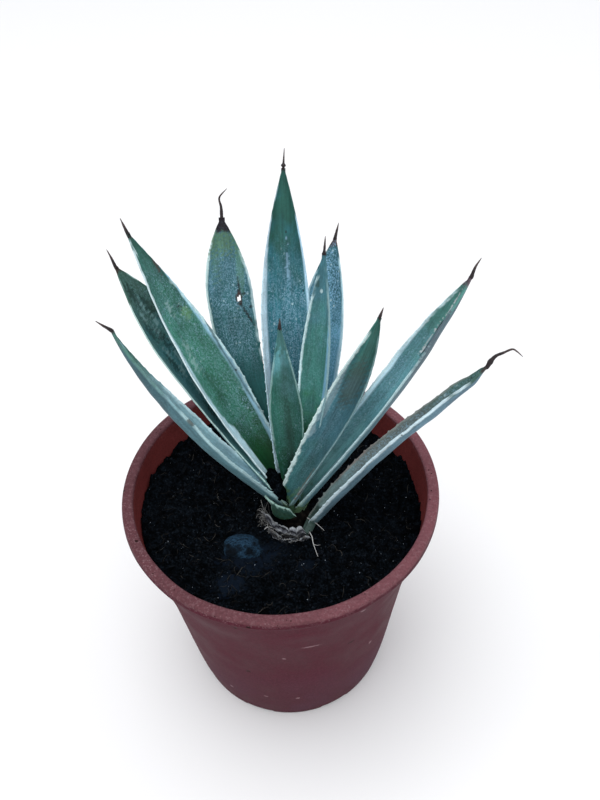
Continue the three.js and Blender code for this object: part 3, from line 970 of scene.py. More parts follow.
@dataclass
class Stone:
    """Dusty dark-blue pebble, half sunk in the mix: a ball pushed in and out by smooth waves."""

    at: tuple = (-26.5, -31.5, 155.0)
    half: tuple = (14.0, 10.0, 6.5)

    def build(self) -> None:
        """Makes the stone with the CAD's own waves, adds pits, and tints it lighter upwards and darker
        at its sides.
        """
        skin = ball(90, 150)
        way = skin.points
        waves = 0.07 * np.sin(3.1 * way[:, 0] + 1) * np.cos(2.7 * way[:, 1])
        waves += 0.05 * np.sin(5 * way[:, 2] + 2 * way[:, 0])
        pits = 0.022 * ripple(way, 0.5, 51, 4)
        skin.points = np.array(self.at) + way * np.array(self.half) * (1 + waves + pits)[:, None]
        # lighter towards the top, the back and the left, with noise
        dust = ripple(way, 0.9, 52, 5) + 0.9 * way[:, 2] + 0.3 * way[:, 1] - 0.2 * way[:, 0] - 0.3
        # darker towards the front and back sides, with noise
        side_darkening = ripple(way, 0.16, 53, 4) + 0.5 * np.abs(way[:, 1] + 0.1) - 0.35
        colour = lay("#0a1118", "#20374a", smooth(dust, -0.5, 1.1))
        skin.values["tint"] = opaque(lay(colour, "#05070a", smooth(side_darkening, -0.2, 0.9) * 0.75))
        finish = TintFinish("dusty_stone", contrast=0.45, roughness=0.9, relief=0.5, specular=0.05)
        dress(skin.piece("stone_body"), finish.material(), "stone")


# ---- stem, stump and sheaths


@dataclass
class Stem:
    """The short thick stem: a lathe profile, roughened, between the soil and the leaf bases."""

    at: tuple = (7.0, -8.0)
    profile: tuple = (
        (6.5, 127), (13, 140), (15, 149), (12, 153.5), (9.6, 157), (7.6, 160.5), (4.4, 163.4), (1.2, 164.5),
    )
    columns: int = 72

    def build(self) -> None:
        """Turns the profile about the stem's axis and roughens it."""
        line = curve_through(np.array(self.profile, float), 70)
        place = lathed(line[:, :1], line[:, 1:], self.columns)
        push = 1 + 0.05 * ripple(place, 5.0, 61, 3)
        place[..., :2] *= push[..., None]
        place += [*self.at, 0]
        skin = closed_lathe(place, [[*self.at, line[0, 1]], [*self.at, line[-1, 1] + 0.1]])
        tone = smooth(ripple(skin.points, 4.0, 62, 3), -0.2, 0.9)
        # near-black: the stem's own dark, dirty bark, and also painted shade, so that the hollow among the
        # leaf bases reads dark
        skin.values["tint"] = opaque(lay("#0a0909", "#1c1815", tone))
        dress(skin.piece("stem_body"), TintFinish("stem_bark", specular=0.05).material(), "stem")


@dataclass
class CrownSoil:
    """A plug of potting mix lodged between the leaf bases, its dark also standing in for the shade
    there: a leaning, lumpy ball.
    """

    at: tuple = (-2.6, -3.0, 177.0)
    half: tuple = (6.5, 7.5, 13.0)
    lean: tuple = (-12.0, -20.0)

    def build(self) -> None:
        """Makes the plug."""
        skin = ball(48, 64)
        way = skin.points
        push = 1 + 0.1 * np.sin(4 * way[:, 0] + 3 * way[:, 2]) + 0.08 * ripple(way, 0.6, 71, 3)
        local = way * np.array(self.half) * push[:, None]
        tilt_y, tilt_x = (math.radians(v) for v in self.lean)
        turn = Matrix.Rotation(tilt_x, 3, "X") @ Matrix.Rotation(tilt_y, 3, "Y")
        skin.points = local @ np.array(turn).T + np.array(self.at)
        # the plug's near-black mix also stands in for the shade between the leaf bases
        dress(skin.piece("crown_soil_body"), MixFinish("crown_mix").material(), "crown_soil")


@dataclass
class Scale:
    """A curved scale round the front of the stem, from its foot ring up to a ragged rim."""

    node: str
    at: tuple
    turn_from: float
    turn_to: float
    foot: tuple
    rim: tuple
    thick: float
    rag: float
    flare: tuple
    droop: float
    slot: str
    tones: tuple
    finish: TintFinish
    tears: float = 0.0
    seed: int = 5
    sink: float = 0.0

    def sheet(self, turn: Array, level: Array) -> tuple[Array, Array]:
        """Outer and inner faces for an azimuth and a level from 0 at the foot to 1 at the rim.

        The radius goes from the foot ring to the rim with a bulge between them, as in the CAD, and
        flares at each end. The rim sinks towards the ends by a raised sine and is torn by noise. The
        foot sinks by the given amount at the left end and goes out by half of it.

        Args:
            turn: place along the scale, 0 to 1.
            level: place up the scale, 0 to 1.

        Returns:
            Outer points and inner points.
        """
        angle = np.radians(self.turn_from + (self.turn_to - self.turn_from) * turn)
        full = np.minimum(1.0, np.sin(np.pi * turn) * 1.6 + 1 - self.droop)
        full = full * (1 - 0.6 * smooth(turn, 0.78, 1.0))
        along = np.stack([turn * 60.0, level * 0.0], -1)
        notches = smooth(ripple(along, 5.0, self.seed + 1, 2), 0.35, 0.8)
        torn = self.rag * (0.8 * ripple(along, 14.0, self.seed, 3) - self.tears * notches)
        top = self.foot[1] + (self.rim[1] - self.foot[1]) * full + torn + self.flare[0] * (1 - turn) * 0.8
        flare = self.flare[0] * (1 - turn) ** 2 + self.flare[1] * turn**3
        foot_radius = self.foot[0] + self.sink * (1 - turn) / 2 + self.flare[1] * turn**3 * 0.7
        foot_height = self.foot[1] - self.sink * (1 - turn)
        middle = (self.foot[0] + self.rim[0]) / 2 + 0.5 + flare * 0.35
        rim_radius = self.rim[0] + flare
        radius = np.where(
            level < 0.5,
            foot_radius + (middle - foot_radius) * level * 2,
            middle + (rim_radius - middle) * (level * 2 - 1),
        )
        height = foot_height + (top - foot_height) * level
        spread = np.stack([turn * 30.0, level * 12.0], -1)
        radius = radius + self.rag * 0.5 * ripple(spread, 9.0, self.seed + 2, 2)
        drift = ripple(spread, 16.0, self.seed + 4, 1)
        radius = radius + self.rag * 0.25 * np.sin(level * 15.0 + 2.0 * drift)
        thick = self.thick * (0.55 + 0.45 * full) * (1 - 0.55 * level)
        way = np.stack([np.sin(angle), np.cos(angle)], -1)

        def face(offset: Array) -> Array:
            """The sheet's points, moved out by an offset."""
            flat = np.array(self.at) + way * (radius + offset)[..., None]
            return np.concatenate([flat, height[..., None]], -1)

        return face(thick / 2), face(-thick / 2)

    def build(self) -> None:
        """Makes the scale, paints it from edge to middle and dresses it."""
        turn, level = np.meshgrid(np.linspace(0, 1, 110), np.linspace(0, 1, 36), indexing="ij")
        points, quads = closed_blade(*self.sheet(turn, level))
        wave = level + 0.12 * ripple(np.stack([turn * 50.0, level * 3.0], -1), 9.0, self.seed + 3, 3)
        foot, rim, gap_shade, pale = self.tones
        colour = lay(foot, rim, smooth(level, 0.1, 0.75))
        # painted shade: two dark bands across the scale, where the gaps between its layered rings lie in
        # shade
        for tone, cover in (
            (gap_shade, (hump(wave, 0.68, 0.09) + hump(wave, 0.2, 0.12)) * 0.9),
            (pale, smooth(wave, 0.82, 0.95) * 0.9),
            (pale, hump(wave, 0.45, 0.05) * self.tears * 0.6),
            (pale, (1 - smooth(turn, 0.02, 0.07)) * 0.9),
        ):
            colour = lay(colour, tone, cover)
        outer = colour.reshape(-1, 3)
        flat = np.stack([turn * 50.0, level * 12.0, turn * 0], -1).reshape(-1, 3)
        # painted shade: the inner face, towards the stem, is the outer colour at 0.45
        tint = opaque(np.concatenate([outer, outer * 0.45]))
        skin = Skin(points, quads, values={"tint": tint, "flat": np.concatenate([flat, flat + [0, 0, 9.0]])})
        dress(skin.piece(self.node + "_body"), self.finish.material(), self.node)


@dataclass
class Strands:
    """Pale roots and torn fibres round the stem's foot, each a thin tube through named points."""

    roots: tuple = (
        ((15.5, -16.0, 160.5), (17.7, -17.6, 160.0), (21.3, -20.7, 159.5), (25.3, -24.6, 157.6)),
        ((16, -25.5, 158.4), (17.3, -29.2, 158.4), (17.6, -33, 157.6), (18.6, -38.5, 157.6),
         (20, -44.3, 156.9)),
        ((17.9, -34.5, 157.7), (19.8, -35.6, 157.9), (22.0, -35.2, 157.5)),
        ((-6.0, -20.0, 158.0), (-9.2, -18.9, 158.2), (-11.5, -19.6, 157.8), (-12.8, -21.0, 157.0)),
        ((-9.6, -13.0, 158.5), (-11.6, -9.5, 163.5), (-12.6, -6.0, 166.0), (-13.2, -4.0, 167.5)),
    )
    root_radii: tuple = (0.3, 0.34, 0.2, 0.45, 0.25)
    root_tones: tuple = (0.75, 0.8, 0.7, 0.9, 0.7)
    stations: int = 14
    tufts: int = 120
    centre: tuple = (6.0, -13.3)
    level: float = 155.5

    def build(self) -> None:
        """Draws the named roots and a seeded tuft of fibres at the sheath's torn left end."""
        rng = np.random.default_rng(81)
        t = np.linspace(0, 1, self.stations)
        named = np.stack([curve_through(np.array(r, float), self.stations) for r in self.roots])
        thick = np.array(self.root_radii)[:, None] * np.linspace(1.0, 0.45, self.stations)
        left = rng.uniform(0, 1, self.tufts) ** 2.0
        radius = rng.uniform(14.0, 18.0, self.tufts)
        angle = np.radians(-76 - 130 * left)[:, None] + rng.normal(0, 0.22, self.tufts)[:, None] * t
        out = radius[:, None] + (rng.uniform(-1.0, 3.5, self.tufts) + 3.0 * (1 - left) ** 3)[:, None] * t
        rise = rng.uniform(2.0, 10.5, self.tufts)[:, None] * (1 - 0.75 * left[:, None])
        height = self.level + rng.uniform(0, 3, self.tufts)[:, None] + rise * np.sin(t * 2.0)
        x, y = self.centre
        path = np.stack([x + out * np.sin(angle), y + out * np.cos(angle), height], -1)
        radii = np.concatenate([thick, rng.uniform(0.1, 0.26, self.tufts)[:, None] * (1 - 0.6 * t)])
        skin = tubes(np.concatenate([named, path]), radii, 6)
        tone = np.concatenate([self.root_tones, rng.uniform(0.0, 0.8, self.tufts) ** 1.4])
        skin.values["tint"] = opaque(lay("#3a3836", "#c4c5c4", tone), len(skin.points) // len(tone))
        finish = TintFinish("dry_fibre", specular=0.1)
        dress(skin.piece("torn_fibres_and_roots"), finish.material())


# ---- leaves


@dataclass(frozen=True)
class Mark:
    """A blemish on a leaf's upper face: where its centre is, its half sizes in millimetres and its colour."""

    along: float
    across: float
    length: float
    width: float
    colour: str
    strength: float = 1.0
    lean: float = 0.0
    ragged: float = 0.6


@dataclass(frozen=True)
class LeafPaint:
    """Colours of one leaf, its pairs for the left and the right side.

    Pale strips are wings painted paler for the light that they catch, from the given share of the
    half width outwards. They reach further in by their flare at the foot, and their light is
    multiplied by strip_high near the tip.
    """

    low: str
    mid: str
    high: str
    under: tuple = ("#6a8f98", "#5f868c")
    # painted light: pale strips on the outer wings, for the light that they catch
    strip: tuple = ("#9cc6da", "#86abc2")
    strip_from: tuple = (2.0, 2.0)
    strip_flare: tuple = (0.0, 0.0)
    strip_high: tuple = (1.0, 1.0)
    margin: tuple = ("#c6e0e4", "#a5c6c9")
    margin_width: tuple = (0.8, 0.8)
    margin_cover: tuple = (0.85, 0.85)
    margin_start: tuple = (-0.2, -0.2)
    margin_end: tuple = (0.9, 0.9)
    # painted light: factors on the left and the right wing's colour, for the light that falls on each
    gain: tuple = (1.0, 1.0)
    bloom: float = 0.3
    bloom_reach: tuple = (0.2, 0.85)
    powder: str = "#86aabf"
    tip: str = "#2b2022"
    tip_start: float = 0.994
    base: str = "#5f7f62"
    base_reach: float = 0.1
    marks: tuple = ()


@dataclass
class Leaf:
    """One agave leaf, with the CAD's own centre line, width and channelled section.

    heading and rise are the azimuth and elevation at the base in degrees and their change to the
    tip. roll is the turn about the midrib and its change. fold is how far each wing is turned up.
    """

    name: str
    base: tuple
    heading: tuple
    rise: tuple
    size: tuple
    belly: float
    neck: float
    taper: float
    roll: tuple
    fold: float
    thick: float
    spine: tuple
    paint: LeafPaint
    root: tuple = (7.0, -7.5, 157.0)
    split: Optional[tuple] = None
    row_step: float = 0.5
    columns: int = 33
    tip_half_width: float = 0.75
    margin_thick: float = 0.8
    tooth: float = 1.25
    tooth_reach: tuple = (0.03, 0.9)
    tooth_spacing: tuple = (5.0, 10.0)
    tooth_lean: tuple = (1.6, 0.7)
    waviness: float = 0.22
    twist: float = 0.0
    waist: float = 0.0
    sag: float = 0.0
    thorn: float = 1.0
    thorn_seat: float = 2.2
    thorn_stations: int = 64
    thorn_sides: int = 18
    knot: float = 0.0

    @property
    def seed(self) -> int:
        """A number of the leaf's own, for its random draws."""
        return 100 + int(self.name) * 7

    def axes(self, u: Array, twist: float = 0.0) -> tuple[Array, Array, Array]:
        """Directions along the midrib, to the right side and up from the upper face.

        Azimuth and elevation change with u to the power 1.5. The side is level and square to the
        midrib, and side and up are then turned about the midrib by the roll.

        Args:
            u: places along the leaf, 0 to 1; below 0 they are those at 0.
            twist: extra roll of the outer half in degrees.

        Returns:
            Three arrays of unit vectors.
        """
        v = np.maximum(u, 0.0)
        turn = np.radians(self.heading[0] + self.heading[1] * v**1.5)
        rise = np.radians(self.rise[0] + self.rise[1] * v**1.5)
        along = np.stack([np.cos(rise) * np.sin(turn), np.cos(rise) * np.cos(turn), np.sin(rise)], -1)
        side = np.stack([np.cos(turn), -np.sin(turn), 0 * turn], -1)
        up = np.cross(side, along)
        roll = np.radians(self.roll[0] + self.roll[1] * v + twist * smooth(v, 0.3, 0.75))[:, None]
        return along, side * np.cos(roll) + up * np.sin(roll), up * np.cos(roll) - side * np.sin(roll)

    def midrib(self) -> tuple[Array, Array]:
        """Stations along the leaf and the midrib's points.

        The blade's part sums the direction along the leaf. The root, where u is below 0, is a
        Hermite curve from inside the stem that leaves along the blade. The outer half hangs below
        that line by the sag, which smooth steps bring in and take away again at the tip.

        Returns:
            u, and the points in millimetres.
        """
        rows = int(self.size[0] / self.row_step)
        u = np.linspace(0, 1, rows)
        along = self.axes(u)[0]
        step = (along[1:] + along[:-1]) / 2 * self.size[0] / (rows - 1)
        start = np.array(self.base, float)
        blade = start + np.vstack([np.zeros(3), np.cumsum(step, 0)])
        t = np.linspace(0, 1, 26)[:-1, None]
        end = np.array(self.root, float)
        reach = np.linalg.norm(start - end)
        h = (2 * t**3 - 3 * t**2 + 1, t**3 - 2 * t**2 + t, 3 * t**2 - 2 * t**3, t**3 - t**2)
        root = h[0] * end + h[1] * (start - end) + h[2] * start + h[3] * along[0] * reach * 0.8
        hang = self.sag * smooth(u, 0.4, 0.8) * (1 - smooth(u, 0.92, 1.0))
        blade = blade - self.axes(u)[2] * hang[:, None]
        return np.concatenate([t[:, 0] - 1, u]), np.vstack([root, blade])

    def half_width(self, u: Array) -> Array:
        """Half width: a sine from the neck to the belly, then a power fall to the tip, narrower in the root.

        The waist takes its share off the lower part, and gives it back by smooth steps up the leaf.

        Args:
            u: places along the leaf.

        Returns:
            The half width at each, in millimetres.
        """
        wide = self.size[1]
        v = np.maximum(u, 0)
        rising = wide * (self.neck + (1 - self.neck) * np.sin(np.pi / 2 * np.minimum(v / self.belly, 1)))
        past = np.clip((v - self.belly) / (1 - self.belly), 0, 1)
        falling = np.maximum(wide * (1 - past**self.taper), self.tip_half_width)
        blade = np.where(v < self.belly, rising, falling) * (1 - self.waist * (1 - smooth(v, 0.16, 0.46)))
        return np.where(u < 0, wide * self.neck * (1 - self.waist) * (1 + 0.35 * u), blade)

    def teeth(self, way: float, margin: Margin) -> Array:
        """How far the margin stands out at each station: leaning triangles at uneven steps, on a wave.

        Args:
            way: distance along the leaf of each station, in millimetres.
            margin: which long edge.

        Returns:
            The height of the teeth at each station, in millimetres.
        """
        rng = np.random.default_rng(self.seed + margin.value)
        length = self.size[0]
        first, last = (share * length for share in self.tooth_reach)
        seats = first + np.cumsum(rng.uniform(*self.tooth_spacing, 60))
        seats = seats[seats < last]
        tall = self.tooth * (1.02 - seats / length) ** 1.1 * rng.uniform(0.55, 1.25, len(seats))
        off = way[:, None] - seats
        slope = np.where(off < 0, 1 + off / self.tooth_lean[0], 1 - off / self.tooth_lean[1])
        wave = 0.07 * np.sin(way / 6.5 * 2 * np.pi)
        return (np.clip(slope, 0, 1) ** 1.3 * tall).max(1) + wave * (way > 0)

    def surface(self) -> tuple[Array, Array, Array, Array, Array]:
        """Upper and lower faces of the blade as grids.

        At q across, from -1 to 1, a point is the midrib plus side * w cos(fold) q plus
        up * w sin(fold) q^2. The lower face lies below it by a thickness that is greatest at the
        midrib. Teeth push the outer columns outwards, and thin out as they do.

        Returns:
            Upper points, lower points, u of each row, q of each column, and way along of each row.
        """
        u, middle = self.midrib()
        _, side, up = self.axes(u, self.twist)
        way = u * self.size[0]
        w = self.half_width(u)[:, None]
        q = np.sin(np.linspace(-1, 1, self.columns) * np.pi / 2 * 0.9) / np.sin(np.pi / 2 * 0.9)
        fold = math.radians(self.fold)
        across = w * q
        flat = np.stack([across, way[:, None] + 0 * q], -1)
        swell = self.waviness * ripple(flat, 34.0, self.seed, 2) * smooth(w, 2.0, 7.0)
        swell += 0.22 * ripple(flat, 20.0, self.seed + 3, 1) * np.abs(q) ** 3 * smooth(w, 3.0, 8.0)
        swell += 0.18 * smooth(np.abs(q), 0.9, 1.0)
        upper = middle[:, None] + side[:, None] * (across * math.cos(fold))[..., None]
        upper = upper + up[:, None] * (w * math.sin(fold) * q**2 + swell)[..., None]
        lean = 2 * q * math.tan(fold)
        square = unit(up[:, None] - side[:, None] * lean[:, None])
        middle_thick = self.thick * (1 - np.maximum(u, 0)) ** 0.8 + 0.9
        round_edge = 1 - np.abs(q) ** 2.2
        thick = self.margin_thick + np.maximum(middle_thick - self.margin_thick, 0)[:, None] * round_edge
        outwards = unit(side[:, None] * np.sign(q)[:, None] + up[:, None] * np.abs(lean)[:, None])
        share = np.zeros(self.columns)
        share[[0, -1]], share[[1, -2]] = 1.0, 0.3
        left, right = (self.teeth(way, margin)[:, None] for margin in Margin)
        reach = np.where(q < 0, left, right) * share
        thick = thick * (1 - 0.45 * np.clip(reach / self.tooth, 0, 1))
        upper = upper + outwards * reach[..., None]
        return upper, upper - square * thick[..., None], u, q, way

    def colours(self, u: Array, q: Array, w: Array) -> tuple[Array, Array]:
        """Broad colours of the upper face: three tones up the leaf, painted light on the wings, base,
        margins, marks and tip.

        Args:
            u: station of each row.
            q: place of each column across.
            w: half width of each row in millimetres.

        Returns:
            The colours, and how far each point lies under a mark.
        """
        p = self.paint
        marked = np.zeros((len(u), len(q)))
        flat = np.stack([w[:, None] * q, (u * self.size[0])[:, None] + 0 * q], -1)
        v = u[:, None] + 0.06 * ripple(flat, 20.0, self.seed + 9, 3)
        side = np.abs(q) + 0 * v
        colour = lay(lay(p.low, p.mid, smooth(v, 0.18, 0.45)), p.high, smooth(v, 0.6, 0.9))
        # painted light: each wing's colour is made lighter or darker by its factor
        wing = smooth(q, -0.5, -0.1)[None, :, None]
        colour = colour * (p.gain[0] * (1 - wing) + p.gain[1] * wing)
        uneven = 0.012 * ripple(flat, 30.0, self.seed + 10, 2)
        # painted light: the pale strips on the outer wings
        for i, margin in enumerate(Margin):
            start = p.strip_from[i]
            edge = start + uneven + (1 - start) * smooth(u, 0.55, 0.95)[:, None]
            edge = edge - p.strip_flare[i] * (1 - smooth(v, 0.2, 0.5))
            cover = smooth(side - edge, -0.03, 0.04) * (np.sign(q) == margin.value) * smooth(v, 0.0, 0.15)
            tone = linear(p.strip[i]) * (1 + (p.strip_high[i] - 1) * smooth(v, 0.55, 0.8))[..., None]
            colour = lay(colour, tone, cover * (1 - smooth(v, 0.85, 0.95)))
        colour = lay(colour, p.base, 1 - smooth(v, 0.0, p.base_reach))
        gap = w[:, None] * (1 - side)
        worn = 0.3 * ripple(flat, 9.0, self.seed + 11, 3)
        for i, margin in enumerate(Margin):
            line, first, last = p.margin_width[i], p.margin_start[i], p.margin_end[i]
            cover = 1 - smooth(gap, line * (0.45 + worn), line * (1.3 + worn))
            cover = cover * (np.sign(q) == margin.value) * smooth(v, first - 0.05, first + 0.05)
            cover = cover * p.margin_cover[i] * (1 - smooth(v, last - 0.04, last + 0.06))
            colour = lay(colour, p.margin[i], cover)
        for i, m in enumerate(p.marks):
            away = (u[:, None] - m.along) * self.size[0]
            aside = w[:, None] * q - m.across * np.interp(m.along, u, w) - m.lean * away
            far = np.hypot(away / m.length, aside / m.width)
            far = far + m.ragged * 0.5 * ripple(flat, 3.0, self.seed + 20 + i, 3)
            cover = (1 - smooth(far, 0.7, 1.25)) * m.strength
            colour = lay(colour, m.colour, cover)
            marked = np.maximum(marked, cover)
        end = u[:, None] + 0.006 * ripple(flat, 5.0, self.seed + 12, 3)
        return lay(colour, p.tip, smooth(end, p.tip_start - 0.008, p.tip_start + 0.006)), marked

    def cells_kept(self, way: Array, q: Array) -> Optional[Array]:
        """Which cells of the blade's grid are there: all of them, or all but those in its torn hole.

        Args:
            way: distance along the leaf of each row, in millimetres.
            q: place of each column across.

        Returns:
            True for each cell that is there, or None for all.
        """
        if not self.split:
            return None
        centre, across, half_length, half_width = self.split
        cell_way, cell_q = ((line[1:] + line[:-1]) / 2 for line in (way, q))
        off = (cell_way - centre * self.size[0])[:, None] / half_length
        aside = (cell_q[None] * self.size[1] - across * self.size[1] - 0.12 * off * half_length) / half_width
        return np.hypot(off, aside) > 1.0

    def build_blade(self) -> None:
        """Makes and dresses the blade."""
        upper, lower, u, q, way = self.surface()
        points, quads = closed_blade(upper, lower, self.cells_kept(way, q))
        p = self.paint
        w = self.half_width(u)
        top, marked = self.colours(u, q, w)
        v, gap = u[:, None] + 0 * q, w[:, None] * (1 - np.abs(q))
        below = lay(*p.under, smooth(v, 0.4, 0.75))
        below = lay(below, top, 1 - smooth(gap, 0.4, 1.1))
        below = lay(below, p.tip, smooth(v, p.tip_start - 0.012, p.tip_start + 0.01))
        below = lay(below, p.base, 1 - smooth(v, -0.05, p.base_reach))
        across = w[:, None] * q
        flat = np.stack([across, way[:, None] + 0 * q, 0 * across + self.seed * 1.7], -1).reshape(-1, 3)
        first, last = p.bloom_reach
        reach = smooth(u, first - 0.1, first + 0.1) * (1 - smooth(u, last - 0.14, last + 0.1))
        inner = 1 - smooth(np.abs(q), 0.8, 0.97)
        powder = (p.bloom * reach[:, None] * inner * (1 - marked)).ravel()
        values = {
            "tint": opaque(np.concatenate([top.reshape(-1, 3), below.reshape(-1, 3)])),
            "flat": np.concatenate([flat, flat + [0, 0, 50.0]]),
            "bloom": np.concatenate([powder, powder * 0.3]),
        }
        piece = Skin(points, quads, values=values).piece(f"blade_{self.name}")
        finish = SkinFinish(f"agave_skin_{self.name}", powder=p.powder)
        dress(piece, finish.material(), f"leaf_{self.name}")

    def build_spine(self) -> None:
        """Makes the terminal spine: a tapering, slightly grooved thorn along the CAD's line."""
        middle, seat = self.midrib()[1][-1], self.thorn_seat
        along, side, up = (a[-1] for a in self.axes(np.array([1.0])))
        knots = [middle + side * s + along * a + up * (h - 0.3) for s, a, h in ((0, 0, 0), *self.spine)]
        back = middle - along * seat - up * 0.35
        path = curve_through(np.vstack([back, *knots]), self.thorn_stations)
        v = np.linspace(0, 1, self.thorn_stations)
        start = seat / (seat + np.linalg.norm(np.diff(np.array(knots), axis=0), axis=1).sum())
        free = np.clip((v - start) / (1 - start), 0, 1)
        radius = (1.15 * (1 - free) ** 0.8 * 0.8 * self.thorn + 0.14) * smooth(v, -0.02, start)
        radius = radius * (1 + 0.06 * ripple(path, 2.4, self.seed + 4, 2))
        radius = radius + self.knot * hump(free, 0.14, 0.07)
        skin = tubes(path[None], radius[None], self.thorn_sides)
        reach = np.concatenate([np.repeat(v, self.thorn_sides), [0, 1]])
        tone = smooth(reach + 0.15 * ripple(skin.points, 3.0, self.seed + 5, 2), 0.35, 0.95)
        skin.values["tint"] = opaque(lay("#1d1416", "#5a4a47", tone * 0.75))
        finish = TintFinish(f"dark_horn_{self.name}", (1500.0, 1500.0, 300.0), 0.35, 0.5, 0.12, 0.35)
        dress(skin.piece(f"thorn_{self.name}"), finish.material(), f"spine_{self.name}")

    def build(self) -> None:
        """Builds the blade and its spine."""
        self.build_blade()
        self.build_spine()


BLACK, BROWN, WHITE, YELLOW = "#17191a", "#4b3a38", "#b9d3d6", "#6f8f52"


